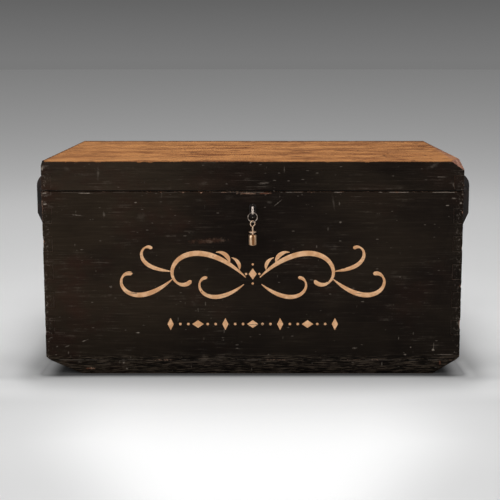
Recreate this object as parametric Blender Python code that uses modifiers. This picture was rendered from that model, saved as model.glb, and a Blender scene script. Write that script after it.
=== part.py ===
"""Joiner's tool chest: dovetailed carcass on two skids, hinged lid, sliding till, lock and key.

Metres, +Z up. X runs along the chest's length, Y from its front face to its back, and the origin is on the
ground, in the middle of the whole object's footprint. Each board, fitting and moving piece is an object of
its own. Moving pieces are parented to an empty on their joint's axis.
"""

import math
from dataclasses import dataclass

import bmesh
import bpy
from mathutils import Matrix, Vector

# Working clearances
FIT = 0.0003                 # gap that pieces lying on each other keep
OVERRUN = 0.002              # how far a cutter passes what it cuts
WELD = 0.00002               # merge distance for doubled points

# Carcass
WIDTH = 0.940
DEPTH = 0.500
BOARD = 0.021                # thickness of the front, back and side boards
SKID_HEIGHT = 0.0317
SKID_WIDTH = 0.060
SKID_SLOPE_LEFT = 0.072      # length of the sloped end, seen from the front
SKID_SLOPE_RIGHT = 0.052
CORNER_WEAR = 0.008          # worn lower corners, measured up and inwards
CORNER_WEAR_RUN = 0.070      # how far the wear runs along the ends' lower edges
CARCASS_TOP = 0.4185
PLANK_THICK = 0.016
PLANK_REBATE = 0.010         # depth of the groove that takes the bottom planks' ends
PLANK_COUNT = 5
PLANK_GAP = 0.0008

# Dovetails
TAIL_SLOPE = 1 / 7
TAIL_CLEAR = 0.0003

# Lid
SEAM_GAP = 0.0008
LID_FRAME_HEIGHT = 0.0474
LID_PLANK_THICK = 0.020
LID_PLANK_COUNT = 3
LID_PLANK_GAP = 0.0006
LID_ARRIS = 0.0022           # rounding of the top planks' edges
LID_CHIP = 0.0175            # worn front right corner of the top
LID_NICK = 0.006             # worn front left corner of the top

# Handles
EAR_SPREAD = 0.170           # between the middles of the two ears of one handle
EAR_THICK = 0.022
EAR_REACH = 0.048
EAR_RISE = 0.0235            # how far the ears stand above the carcass's top edge
EAR_LENGTH = 0.222
EAR_ROUND = 0.031            # rounding of the upper outer corner
EAR_FACE = 0.066             # upright stretch of the outer face, below the rounding
EAR_FOOT_REACH = 0.006
EAR_FOOT_RISE = 0.008
EAR_LID_RELIEF = 0.0015      # set-back of the ear where the lid passes it
EAR_HOLLOW = 0.003           # how far the tapered edge is hollowed
RAIL_RADIUS = 0.0110
RAIL_SWELL = 0.0010          # how much thicker the rail is in its middle
RAIL_TENON_RADIUS = 0.008
RAIL_INSET = 0.0005          # from the ear's outer face to the rail's widest point
RAIL_DROP = 0.042            # from the ear's top down to the rail's axis
EAR_STEPS = 8
RAIL_STEPS = 24

# Hinges
HINGE_INSET = 0.170          # from the chest's end to the hinge's middle
HINGE_LENGTH = 0.064
HINGE_LEAF_DEPTH = 0.018
HINGE_LEAF_THICK = 0.0020
KNUCKLE_RADIUS = 0.0040
KNUCKLE_COUNT = 5
KNUCKLE_GAP = 0.0004
HINGE_PIN_RADIUS = 0.0018
HINGE_PIN_CLEAR = 0.0003
HINGE_PIN_HEAD = 0.0030
HINGE_PIN_HEAD_THICK = 0.0014
KNUCKLE_SETOFF = 0.0003      # from the back board's face to the knuckle

# Lock
LOCK_WIDTH = 0.070
LOCK_DEPTH = 0.013           # case and cap together
LOCK_WALL = 0.0016
KEY_DROP = 0.0387            # from the carcass's top edge down to the key's axis
BIT_REACH = 0.010
BIT_THICK = 0.003
BIT_LENGTH = 0.0080
BIT_ROOM = 0.0012            # free space round the turning bit
BIT_WARD = 0.0016            # width of the slots in the bit
BIT_WARD_DEPTH = 0.0036
SHANK_RADIUS = 0.003
SHANK_TIP = 0.0010           # how far the shank enters the lock's cap
SHANK_COLLAR_RADIUS = 0.0048
SHANK_COLLAR_LENGTH = 0.0030
KEYHOLE_CLEAR = 0.0010
BOLT_THROW = 0.008
BOLT_BAR = 0.0105            # height of the bolt's bar
BOLT_TAIL_ROOM = 0.0029      # free room in the case behind the bolt, and before it when thrown
BOLT_NOSE_ROOM = 0.0054
BOLT_FINGER = 0.009
BOLT_FINGER_HEIGHT = 0.0048
BOLT_FINGER_THICK = 0.0030
BOLT_FINGER_RISE = 0.0170    # from the bar's lower edge to the finger's
TALON_HALF = 0.0076          # half the width of the notch that the bit works in
TALON_DEPTH = 0.0024
STAPLE_SHARE = 13 / 35        # the staples' spread as a share of the lock's width
STAPLE_THICK = 0.003
STAPLE_WIDTH = 0.008
STAPLE_EYE = 0.0042
STAPLE_EYE_ROOM = 0.0009
STAPLE_FOOT = 0.0020
STAPLE_SLOT_CLEAR = 0.0008
LINK_LENGTH = 0.056
LINK_WIDTH = 0.0124
LINK_THICK = 0.0016
ESCUTCHEON_HALF = 0.0080
ESCUTCHEON_ABOVE = 0.0125    # above and below the key's axis
ESCUTCHEON_BELOW = 0.0205
ESCUTCHEON_THICK = 0.0012

# Key, ring and fob
HANG = 0.0174                # how far the ring hangs in front of the chest's face
BOW_RADIUS = 0.0094
BOW_RIM = 0.0014             # half the rim's thickness in the bow's plane
BOW_HALF_THICK = 0.0024
RING_RADIUS = 0.0103
RING_WIRE = 0.0011
EYE_RADIUS = 0.0064
EYE_WIRE = 0.0012
EYE_TURN = math.radians(40)
FOB_NECK_RADIUS = 0.0015
FOB_NECK_LENGTH = 0.0096
FOB_CAP_RADIUS = 0.0080
FOB_CAP_THICK = 0.0040
FOB_STUB_RADIUS = 0.0025
FOB_STUB_LENGTH = 0.0124
FOB_HEAD_RADIUS = 0.0046     # the stub's head, which holds the barrel up
FOB_HEAD_THICK = 0.0018
FOB_GAP = 0.0048             # from the cap's foot down to the barrel
BARREL_RADIUS = 0.0090
BARREL_LENGTH = 0.0232
BARREL_EDGE = 0.0010
BARREL_BORE_CLEAR = 0.0004

# Till and its runners
TILL_DEPTH = 0.200
TILL_HEIGHT = 0.090
TILL_BOARD = 0.010
TILL_FLOOR = 0.006
TILL_TOP_DROP = 0.014        # from the carcass's top edge down to the till's
TILL_END_CLEAR = 0.0009
TILL_BACK_CLEAR = 0.0009
TILL_DIVIDERS = 2
TILL_DIVIDER_THICK = 0.008
TILL_DIVIDER_HEIGHT = 0.074
RUNNER_WIDTH = 0.020
RUNNER_HEIGHT = 0.022


@dataclass(frozen=True)
class Joint:
    """A corner's row of tails, counted down from the board's top edge."""

    top_pin: float
    tail: float
    pin: float
    count: int


CARCASS_JOINT = Joint(top_pin=0.037, tail=0.034, pin=0.0302, count=5)
LID_JOINT = Joint(top_pin=0.0120, tail=0.0320, pin=0.0, count=1)
TILL_JOINT = Joint(top_pin=0.012, tail=0.026, pin=0.014, count=2)

ROUND_SHARE = 0.5            # bevel profile of a plain round

# Places worked out from the sizes above
FRONT_REACH = HANG + BOW_RADIUS
KNUCKLE_BACK = KNUCKLE_SETOFF + KNUCKLE_RADIUS
REAR_REACH = KNUCKLE_BACK + KNUCKLE_RADIUS
FRONT = (FRONT_REACH - REAR_REACH - DEPTH) / 2
BACK = FRONT + DEPTH
MIDDLE = (FRONT + BACK) / 2
HALF = WIDTH / 2
INNER_HALF = HALF - BOARD
INNER_FRONT = FRONT + BOARD
INNER_BACK = BACK - BOARD
CARCASS_FOOT = SKID_HEIGHT + FIT
PLANK_TOP = CARCASS_FOOT + PLANK_THICK
LID_FOOT = CARCASS_TOP + SEAM_GAP
LID_FRAME_TOP = LID_FOOT + LID_FRAME_HEIGHT
LID_PLANK_FOOT = LID_FRAME_TOP + FIT
LID_TOP = LID_PLANK_FOOT + LID_PLANK_THICK
EAR_TOP = CARCASS_TOP + EAR_RISE
EAR_FOOT = EAR_TOP - EAR_LENGTH
RAIL_HEIGHT = EAR_TOP - RAIL_DROP
HINGE_SPREAD = WIDTH - 2 * HINGE_INSET
HINGE_Y = BACK + KNUCKLE_BACK
HINGE_Z = CARCASS_TOP + SEAM_GAP / 2
KEY_Z = CARCASS_TOP - KEY_DROP
LOCK_FRONT = INNER_FRONT - LOCK_DEPTH
CAP_FRONT = INNER_FRONT - LOCK_WALL
LOCK_FOOT = KEY_Z - BIT_REACH - BIT_ROOM - LOCK_WALL
BOLT_Y = (LOCK_FRONT + LOCK_WALL + CAP_FRONT) / 2
BOLT_FOOT = KEY_Z + BIT_REACH - TALON_DEPTH + BIT_ROOM
LEDGE_TOP = BOLT_FOOT - FIT
LOCK_INNER_HALF = LOCK_WIDTH / 2 - LOCK_WALL
BOLT_TAIL = LOCK_INNER_HALF - BOLT_TAIL_ROOM
BOLT_NOSE = LOCK_INNER_HALF - BOLT_NOSE_ROOM - BOLT_THROW
STAPLE_SPREAD = LOCK_WIDTH * STAPLE_SHARE
BOLT_ARM = BOLT_TAIL - FIT - (STAPLE_SPREAD + STAPLE_THICK) / 2 - STAPLE_EYE_ROOM - BOLT_FINGER
HANG_Y = FRONT - HANG
BOW_INNER = BOW_RADIUS - 2 * BOW_RIM
RING_TOP = KEY_Z - BOW_INNER + RING_WIRE + FIT
RING_Z = RING_TOP - RING_RADIUS
EYE_TOP = RING_Z - RING_RADIUS + RING_WIRE + EYE_WIRE + FIT
EYE_Z = EYE_TOP - EYE_RADIUS
NECK_TOP = EYE_Z - EYE_RADIUS
CAP_TOP = NECK_TOP - FOB_NECK_LENGTH
BARREL_TOP = CAP_TOP - FOB_CAP_THICK - FOB_GAP
TILL_TOP = CARCASS_TOP - TILL_TOP_DROP
TILL_FOOT = TILL_TOP - TILL_HEIGHT
TILL_BACK = INNER_BACK - TILL_BACK_CLEAR
TILL_FRONT = TILL_BACK - TILL_DEPTH
TILL_HALF = INNER_HALF - TILL_END_CLEAR

# How a flat outline (u, v) is stood up: across the chest, along its side, or lying flat
FRONT_PLANE = Matrix(((1, 0, 0), (0, 0, -1), (0, 1, 0)))
SIDE_PLANE = Matrix(((0, 0, 1), (1, 0, 0), (0, 1, 0)))
ALONG_Y = Matrix(((1, 0, 0), (0, 0, 1), (0, -1, 0)))
ALONG_X = Matrix(((0, 0, 1), (0, 1, 0), (-1, 0, 0)))


def clear_scene():
    """Remove every object that the opened file holds."""
    for old in list(bpy.data.objects):
        bpy.data.objects.remove(old)


def new_collection(name):
    """Make a collection in the scene and return it."""
    made = bpy.data.collections.new(name)
    bpy.context.scene.collection.children.link(made)
    return made


def finish(name, colour, roughness, metallic=0.0):
    """Make a Principled material and return it."""
    made = bpy.data.materials.new(name)
    made.use_nodes = True
    shader = made.node_tree.nodes["Principled BSDF"]
    shader.inputs["Base Color"].default_value = (*colour, 1.0)
    shader.inputs["Roughness"].default_value = roughness
    shader.inputs["Metallic"].default_value = metallic
    return made


clear_scene()
CHEST = new_collection("tool_chest")
GUIDES = new_collection("cutters_and_axes")

PAINT = finish("worn_black_paint", (0.012, 0.009, 0.007), 0.55)
PINE_TOP = finish("golden_pine", (0.43, 0.19, 0.065), 0.5)
PINE = finish("bare_pine", (0.50, 0.33, 0.16), 0.65)
HARDWOOD = finish("handle_wood", (0.035, 0.022, 0.016), 0.5)
IRON = finish("dark_iron", (0.05, 0.045, 0.04), 0.5, 0.9)
STEEL = finish("bright_steel", (0.62, 0.60, 0.57), 0.28, 1.0)
BRASS = finish("brass", (0.72, 0.47, 0.20), 0.3, 1.0)


def add(name, mesh, material, at=(0, 0, 0), turn=None, parent=None):
    """Put a mesh into the chest's collection as one named piece."""
    piece = bpy.data.objects.new(name, mesh)
    CHEST.objects.link(piece)
    mesh.materials.clear()
    mesh.materials.append(material)
    rotation = turn.to_4x4() if turn else Matrix.Identity(4)
    piece.matrix_world = Matrix.Translation(at) @ rotation
    if parent:
        piece.parent = parent
        piece.matrix_parent_inverse = Matrix.Translation(parent.location).inverted()
    return piece


def axis_guide(name, at):
    """Mark a joint's axis with an empty, which its moving pieces are parented to."""
    guide = bpy.data.objects.new(name, None)
    guide.location = at
    GUIDES.objects.link(guide)
    return guide


def cut(piece, mesh, at=(0, 0, 0), turn=None, operation="DIFFERENCE"):
    """Cut a mesh out of a piece, or join it on, with a live Boolean."""
    tool = bpy.data.objects.new(f"{piece.name}_{operation.lower()}_{len(piece.modifiers)}", mesh)
    GUIDES.objects.link(tool)
    rotation = turn.to_4x4() if turn else Matrix.Identity(4)
    tool.matrix_world = Matrix.Translation(at) @ rotation
    tool.hide_render = True
    tool.display_type = "WIRE"
    boolean = piece.modifiers.new(f"{operation.lower()}_{len(piece.modifiers)}", "BOOLEAN")
    boolean.object = tool
    boolean.operation = operation
    boolean.solver = "EXACT"


def box_mesh(name, size):
    """Mesh of a box of the given size, centred on its origin."""
    bm = bmesh.new()
    bmesh.ops.create_cube(bm, size=1)
    bmesh.ops.scale(bm, vec=size, verts=bm.verts)
    mesh = bpy.data.meshes.new(name)
    bm.to_mesh(mesh)
    bm.free()
    return mesh


def span(low, high):
    """Size and centre of the box between two corners."""
    low, high = Vector(low), Vector(high)
    return high - low, (low + high) / 2


def board(name, low, high, material, parent=None):
    """A square-edged board between two corners."""
    size, centre = span(low, high)
    return add(name, box_mesh(name, size), material, centre, parent=parent)


def cut_box(piece, low, high):
    """Cut the box between two corners out of a piece."""
    size, centre = span(low, high)
    cut(piece, box_mesh("box_cutter", size), centre)


def outline_mesh(name, outlines, thickness):
    """Mesh of one or more closed outlines in a plane, extruded to both sides of it."""
    curve = bpy.data.curves.new(name, "CURVE")
    curve.dimensions = "2D"
    curve.fill_mode = "BOTH"
    curve.extrude = thickness / 2
    for points in outlines:
        spline = curve.splines.new("POLY")
        spline.points.add(len(points) - 1)
        for place, (u, v) in zip(spline.points, points):
            place.co = (u, v, 0, 1)
        spline.use_cyclic_u = True
    holder = bpy.data.objects.new(name + "_outline", curve)
    GUIDES.objects.link(holder)
    evaluated = holder.evaluated_get(bpy.context.evaluated_depsgraph_get())
    mesh = bpy.data.meshes.new_from_object(evaluated)
    bpy.data.objects.remove(holder)
    bm = bmesh.new()
    bm.from_mesh(mesh)
    bmesh.ops.remove_doubles(bm, verts=bm.verts, dist=WELD)
    bmesh.ops.recalc_face_normals(bm, faces=bm.faces)
    bm.to_mesh(mesh)
    bm.free()
    return mesh


def arc(centre, radius, start, end, steps):
    """Points along an arc, angles in degrees, both ends included."""
    angles = [math.radians(start + (end - start) * step / steps) for step in range(steps + 1)]
    return [(centre[0] + radius * math.cos(a), centre[1] + radius * math.sin(a)) for a in angles]


def circle(centre, radius, steps):
    """Points round a circle."""
    return arc(centre, radius, 0, 360, steps)[:-1]


def rod_mesh(name, radius, length, steps):
    """Mesh of a cylinder along Z, centred on its origin."""
    bm = bmesh.new()
    bmesh.ops.create_cone(bm, cap_ends=True, segments=steps, radius1=radius, radius2=radius, depth=length)
    mesh = bpy.data.meshes.new(name)
    bm.to_mesh(mesh)
    bm.free()
    return mesh


def turned(name, profile, material, at, turn=None, steps=24, parent=None):
    """A piece turned about its Z axis from a profile of (radius, height), top to bottom."""
    mesh = bpy.data.meshes.new(name)
    points = [(radius, 0, height) for radius, height in profile]
    mesh.from_pydata(points, [(i, i + 1) for i in range(len(points) - 1)], [])
    piece = add(name, mesh, material, at, turn, parent)
    screw = piece.modifiers.new("turning", "SCREW")
    screw.steps = screw.render_steps = steps
    screw.use_merge_vertices = True
    screw.merge_threshold = WELD
    return piece


def ring_mesh(name, radius, wire, steps, wire_steps, stretch=1.0):
    """Mesh of a ring about Z whose wire is stretched along Z."""
    bpy.ops.mesh.primitive_torus_add(
        major_radius=radius, minor_radius=wire, major_segments=steps, minor_segments=wire_steps
    )
    made = bpy.context.object
    mesh = made.data
    mesh.name = name
    mesh.transform(Matrix.Diagonal((1, 1, stretch, 1)))
    bpy.data.objects.remove(made)
    return mesh


def tail_places(joint, top):
    """Lower and upper height of each tail's wide end, counted down from the top edge."""
    first = top - joint.top_pin
    pitch = joint.tail + joint.pin
    return [(first - joint.tail - i * pitch, first - i * pitch) for i in range(joint.count)]


def tail_board(name, x, front, back, foot, top, thick, joint, material, parent=None):
    """A side board with tails on both ends, its outline drawn in the Y-Z plane.

    The tails reach the pin boards' outer faces, and the shoulders stop at their inner faces.
    """
    pinch = TAIL_SLOPE * (thick + TAIL_CLEAR)
    shoulder = (back - front) / 2 - thick - TAIL_CLEAR
    reach = (back - front) / 2
    outline = [(shoulder, foot)]
    for low, high in reversed(tail_places(joint, top)):
        outline += [(shoulder, low + pinch), (reach, low), (reach, high), (shoulder, high - pinch)]
    outline.append((shoulder, top))
    outline += [(-u, v) for u, v in reversed(outline)]
    mesh = outline_mesh(name, [outline], thick)
    return add(name, mesh, material, (x, (front + back) / 2, 0), SIDE_PLANE, parent)


def cut_tails(piece, half, face, inwards, thick, joint, top):
    """Cut both ends' sockets for the tails into a pin board.

    half is the joined box's half length, face the board's outer face in Y, and inwards +1 or -1.
    """
    def socket(low, high):
        outer = TAIL_CLEAR + TAIL_SLOPE * OVERRUN
        inner = TAIL_CLEAR - TAIL_SLOPE * (thick + OVERRUN)
        near, far = -inwards * OVERRUN, inwards * (thick + OVERRUN)
        return [(near, low - outer), (far, low - inner), (far, high + inner), (near, high + outer)]

    outlines = [socket(low, high) for low, high in tail_places(joint, top)]
    length = thick + TAIL_CLEAR + OVERRUN
    for side in (-1, 1):
        centre = side * (half + OVERRUN - length / 2)
        cut(piece, outline_mesh("tail_sockets", outlines, length), (centre, face, 0), SIDE_PLANE)


def wear_corners(piece, corners):
    """Cut a carcass board's lower corners away, as years of dragging do.

    corners holds (side, face, inwards): the end of the chest, the outer face in Y and the way in from it.
    Each cutter is a corner of space: the plane through the three worn lengths, with overrun outside.
    """
    for side, face, inwards in corners:
        rise = OVERRUN / CORNER_WEAR
        run = OVERRUN / CORNER_WEAR_RUN
        x, y, z = side * (HALF + OVERRUN), face - inwards * OVERRUN, CARCASS_FOOT - OVERRUN
        inner_x = side * (HALF - CORNER_WEAR * (1 + rise + run))
        inner_y = face + inwards * CORNER_WEAR_RUN * (1 + 2 * rise)
        upper_z = CARCASS_FOOT + CORNER_WEAR * (1 + rise + run)
        bm = bmesh.new()
        for place in ((x, y, z), (inner_x, y, z), (x, inner_y, z), (x, y, upper_z)):
            bm.verts.new(place)
        bmesh.ops.convex_hull(bm, input=bm.verts)
        mesh = bpy.data.meshes.new("worn_corner")
        bm.to_mesh(mesh)
        bm.free()
        cut(piece, mesh)


def make_front_or_back(name, face, inwards):
    """One of the carcass's pin boards, with worn lower corners and a groove for the bottom planks."""
    inner = face + inwards * BOARD
    low, high = (-HALF, min(face, inner), CARCASS_FOOT), (HALF, max(face, inner), CARCASS_TOP)
    piece = board(name, low, high, PAINT)
    cut_tails(piece, HALF, face, inwards, BOARD, CARCASS_JOINT, CARCASS_TOP)
    groove = sorted((inner - inwards * PLANK_REBATE, inner + inwards * OVERRUN))
    cut_box(
        piece,
        (-INNER_HALF, groove[0], CARCASS_FOOT - OVERRUN),
        (INNER_HALF, groove[1], PLANK_TOP + FIT),
    )
    wear_corners(piece, [(side, face, inwards) for side in (-1, 1)])
    return piece


def keyhole(clear):
    """Outline of the hole that the shank and bit pass, about the key's axis."""
    radius = SHANK_RADIUS + clear
    half = BIT_THICK / 2 + clear / 2
    corner = math.degrees(math.asin(half / radius))
    foot = -BIT_REACH - clear
    return arc((0, 0), radius, corner - 90, 270 - corner, 16) + [(-half, foot), (half, foot)]


def keyhole_cut(piece, near, far):
    """Cut the keyhole through a piece between two places in Y."""
    mesh = outline_mesh("keyhole", [keyhole(KEYHOLE_CLEAR)], far - near)
    cut(piece, mesh, (0, (near + far) / 2, KEY_Z), FRONT_PLANE)


def make_carcass():
    """The four dovetailed boards, the bottom planks and the skids."""
    front = make_front_or_back("front_board", FRONT, 1)
    back = make_front_or_back("back_board", BACK, -1)
    for name, side in (("left_side", -1), ("right_side", 1)):
        x = side * (HALF - BOARD / 2)
        piece = tail_board(name, x, FRONT, BACK, CARCASS_FOOT, CARCASS_TOP, BOARD, CARCASS_JOINT, PAINT)
        wear_corners(piece, [(side, FRONT, 1), (side, BACK, -1)])
    cut_box(
        front,
        (-LOCK_WIDTH / 2 - FIT, LOCK_FRONT - FIT, LOCK_FOOT - FIT),
        (LOCK_WIDTH / 2 + FIT, INNER_FRONT + OVERRUN, CARCASS_TOP + OVERRUN),
    )
    keyhole_cut(front, FRONT - OVERRUN, LOCK_FRONT + OVERRUN)
    for x in (-HINGE_SPREAD / 2, HINGE_SPREAD / 2):
        cut_box(
            back,
            (x - HINGE_LENGTH / 2 - FIT, BACK - HINGE_LEAF_DEPTH - FIT, CARCASS_TOP - HINGE_LEAF_THICK - FIT),
            (x + HINGE_LENGTH / 2 + FIT, BACK + OVERRUN, CARCASS_TOP + OVERRUN),
        )

    room = 2 * INNER_HALF - 2 * FIT
    plank = (room - (PLANK_COUNT - 1) * PLANK_GAP) / PLANK_COUNT
    for i in range(PLANK_COUNT):
        left = -room / 2 + i * (plank + PLANK_GAP)
        board(
            f"bottom_plank_{i + 1}",
            (left, INNER_FRONT - PLANK_REBATE + FIT, CARCASS_FOOT),
            (left + plank, INNER_BACK + PLANK_REBATE - FIT, PLANK_TOP),
            PINE,
        )

    toe = HALF - CORNER_WEAR
    skid = [
        (SKID_SLOPE_LEFT - toe, 0), (toe - SKID_SLOPE_RIGHT, 0), (toe, SKID_HEIGHT), (-toe, SKID_HEIGHT),
    ]
    for name, y in (("front_skid", FRONT + SKID_WIDTH / 2), ("rear_skid", BACK - SKID_WIDTH / 2)):
        add(name, outline_mesh(name, [skid], SKID_WIDTH), PAINT, (0, y, 0), FRONT_PLANE)


def ear_outline(side):
    """Outline of a handle's ear from the carcass's end face outwards, with the hole for the rail.

    The lower edge runs in a shallow hollow from the narrow foot to the upright outer face.
    """
    relief = FIT + EAR_LID_RELIEF
    step = CARCASS_TOP - OVERRUN
    foot = Vector((EAR_FOOT_REACH, EAR_FOOT + EAR_FOOT_RISE))
    knee = Vector((EAR_REACH, EAR_TOP - EAR_ROUND - EAR_FACE))
    inwards = Vector((foot.y - knee.y, knee.x - foot.x)).normalized()
    taper = [
        foot.lerp(knee, i / EAR_STEPS) + inwards * EAR_HOLLOW * math.sin(math.pi * i / EAR_STEPS)
        for i in range(EAR_STEPS + 1)
    ]
    outline = [(FIT, EAR_FOOT), (EAR_FOOT_REACH, EAR_FOOT)] + [tuple(point) for point in taper]
    outline += arc((EAR_REACH - EAR_ROUND, EAR_TOP - EAR_ROUND), EAR_ROUND, 0, 90, EAR_STEPS)
    outline += [(relief, EAR_TOP), (relief, step), (FIT, step)]
    hole = circle((rail_reach(), RAIL_HEIGHT), RAIL_TENON_RADIUS + FIT, RAIL_STEPS)
    return [[(side * u, v) for u, v in points] for points in (outline, hole)]


def rail_reach():
    """How far the rail's axis stands out from the carcass's end face."""
    return EAR_REACH - RAIL_INSET - RAIL_RADIUS - RAIL_SWELL


def make_handles():
    """Two lifting handles, each a turned rail held between two shaped ears."""
    between = EAR_SPREAD / 2 - EAR_THICK / 2
    ends = EAR_SPREAD / 2 + EAR_THICK / 2
    shoulder = between - FIT
    swell = [
        (RAIL_RADIUS + RAIL_SWELL * math.cos(math.pi / 2 * share), shoulder * share)
        for share in (1, 2 / 3, 1 / 3, 0, -1 / 3, -2 / 3, -1)
    ]
    profile = [(0, ends), (RAIL_TENON_RADIUS, ends), (RAIL_TENON_RADIUS, shoulder)]
    profile += swell + [(RAIL_TENON_RADIUS, -shoulder), (RAIL_TENON_RADIUS, -ends), (0, -ends)]
    for name, side in (("left", -1), ("right", 1)):
        for end, y in (("front", -EAR_SPREAD / 2), ("rear", EAR_SPREAD / 2)):
            ear = f"{name}_handle_{end}_ear"
            add(ear, outline_mesh(ear, ear_outline(side), EAR_THICK), HARDWOOD,
                (side * HALF, MIDDLE + y, 0), FRONT_PLANE)
        at = (side * (HALF + rail_reach()), MIDDLE, RAIL_HEIGHT)
        turned(f"{name}_handle_rail", profile, HARDWOOD, at, ALONG_Y, RAIL_STEPS)


def plank_mesh(name, size, sides, chips):
    """Mesh of a top plank with rounded outer edges and chipped corners.

    sides lists the outer faces as (axis, sign), and chips the corners as (x sign, y sign, amount).
    """
    bm = bmesh.new()
    bmesh.ops.create_cube(bm, size=1)
    bmesh.ops.scale(bm, vec=size, verts=bm.verts)
    half = size / 2
    for x_sign, y_sign, amount in chips:
        corner = Vector((x_sign * half.x, y_sign * half.y, half.z))
        point = min(bm.verts, key=lambda vert: (vert.co - corner).length)
        bmesh.ops.bevel(bm, geom=[point], offset=amount, segments=3, profile=ROUND_SHARE, affect="VERTICES")

    def lies_on(edge, axis, sign):
        return all(abs(vert.co[axis] - sign * half[axis]) < WELD for vert in edge.verts)

    outer = [edge for edge in bm.edges if sum(lies_on(edge, *face) for face in sides) == 2]
    bmesh.ops.bevel(bm, geom=outer, offset=LID_ARRIS, segments=2, profile=ROUND_SHARE, affect="EDGES")
    mesh = bpy.data.meshes.new(name)
    bm.to_mesh(mesh)
    bm.free()
    return mesh


def make_lid(parent):
    """The lid's dovetailed frame and the three planks that cover it."""
    for name, face, inwards in (("lid_front_rail", FRONT, 1), ("lid_rear_rail", BACK, -1)):
        inner = face + inwards * BOARD
        piece = board(
            name, (-HALF, min(face, inner), LID_FOOT), (HALF, max(face, inner), LID_FRAME_TOP), PAINT, parent
        )
        cut_tails(piece, HALF, face, inwards, BOARD, LID_JOINT, LID_FRAME_TOP)
        if inwards > 0:
            cut_box(
                piece,
                (-LINK_LENGTH / 2 - FIT, BOLT_Y - LINK_WIDTH / 2 - FIT, LID_FOOT - OVERRUN),
                (LINK_LENGTH / 2 + FIT, BOLT_Y + LINK_WIDTH / 2 + FIT, LID_FOOT + LINK_THICK + FIT),
            )
        else:
            for x in (-HINGE_SPREAD / 2, HINGE_SPREAD / 2):
                cut_box(
                    piece,
                    (x - HINGE_LENGTH / 2 - FIT, BACK - HINGE_LEAF_DEPTH - FIT, LID_FOOT - OVERRUN),
                    (x + HINGE_LENGTH / 2 + FIT, BACK + OVERRUN, LID_FOOT + HINGE_LEAF_THICK + FIT),
                )
    for name, side in (("lid_left_rail", -1), ("lid_right_rail", 1)):
        x = side * (HALF - BOARD / 2)
        tail_board(name, x, FRONT, BACK, LID_FOOT, LID_FRAME_TOP, BOARD, LID_JOINT, PAINT, parent)

    plank = (DEPTH - (LID_PLANK_COUNT - 1) * LID_PLANK_GAP) / LID_PLANK_COUNT
    for i in range(LID_PLANK_COUNT):
        near = FRONT + i * (plank + LID_PLANK_GAP)
        size, centre = span((-HALF, near, LID_PLANK_FOOT), (HALF, near + plank, LID_TOP))
        sides = [(0, -1), (0, 1), (2, 1)]
        chips = []
        if i == 0:
            sides.append((1, -1))
            chips = [(1, -1, LID_CHIP), (-1, -1, LID_NICK)]
        if i == LID_PLANK_COUNT - 1:
            sides.append((1, 1))
        name = f"lid_plank_{i + 1}"
        add(name, plank_mesh(name, size, sides, chips), PINE_TOP, centre, parent=parent)


def knuckle_spans():
    """Start and end of each knuckle along the hinge, about its middle."""
    pitch = HINGE_LENGTH / KNUCKLE_COUNT
    return [
        (-HINGE_LENGTH / 2 + i * pitch + KNUCKLE_GAP / 2, -HINGE_LENGTH / 2 + (i + 1) * pitch - KNUCKLE_GAP / 2)
        for i in range(KNUCKLE_COUNT)
    ]


def rods_mesh(name, radius, spans, steps):
    """Mesh of separate cylinders in a line along Z, one for each span."""
    bm = bmesh.new()
    for low, high in spans:
        bmesh.ops.create_cone(
            bm, cap_ends=True, segments=steps, radius1=radius, radius2=radius, depth=high - low,
            matrix=Matrix.Translation((0, 0, (low + high) / 2)),
        )
    mesh = bpy.data.meshes.new(name)
    bm.to_mesh(mesh)
    bm.free()
    return mesh


def make_leaf(name, x, low, high, own, others, parent=None):
    """One leaf of a hinge: its plate, its own knuckles, and room for the other leaf's."""
    centre = (x, HINGE_Y, HINGE_Z)
    leaf = board(
        name, (x - HINGE_LENGTH / 2, BACK - HINGE_LEAF_DEPTH, low), (x + HINGE_LENGTH / 2, HINGE_Y, high), IRON,
        parent,
    )
    cut(leaf, rods_mesh("knuckles", KNUCKLE_RADIUS, own, 20), centre, ALONG_X, "UNION")
    wider = [(a - KNUCKLE_GAP, b + KNUCKLE_GAP) for a, b in others]
    cut(leaf, rods_mesh("knuckle_room", KNUCKLE_RADIUS + KNUCKLE_GAP, wider, 20), centre, ALONG_X)
    bore = rod_mesh("pin_bore", HINGE_PIN_RADIUS + HINGE_PIN_CLEAR, HINGE_LENGTH + 2 * OVERRUN, 16)
    cut(leaf, bore, centre, ALONG_X)


def make_hinges(lid_axis):
    """Two butt hinges let into the back board and the lid's rear rail."""
    spans = knuckle_spans()
    outer, inner = spans[0::2], spans[1::2]
    for name, x in (("left", -HINGE_SPREAD / 2), ("right", HINGE_SPREAD / 2)):
        make_leaf(f"{name}_hinge_lower_leaf", x, CARCASS_TOP - HINGE_LEAF_THICK, CARCASS_TOP, outer, inner)
        make_leaf(
            f"{name}_hinge_upper_leaf", x, LID_FOOT, LID_FOOT + HINGE_LEAF_THICK, inner, outer, lid_axis
        )
        inside = HINGE_LENGTH / 2 + FIT
        end = inside + HINGE_PIN_HEAD_THICK
        profile = [
            (0, end), (HINGE_PIN_HEAD, end), (HINGE_PIN_HEAD, inside), (HINGE_PIN_RADIUS, inside),
            (HINGE_PIN_RADIUS, -inside), (HINGE_PIN_HEAD, -inside), (HINGE_PIN_HEAD, -end), (0, -end),
        ]
        turned(f"{name}_hinge_pin", profile, IRON, (x, HINGE_Y, HINGE_Z), ALONG_X, 16)


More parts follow.
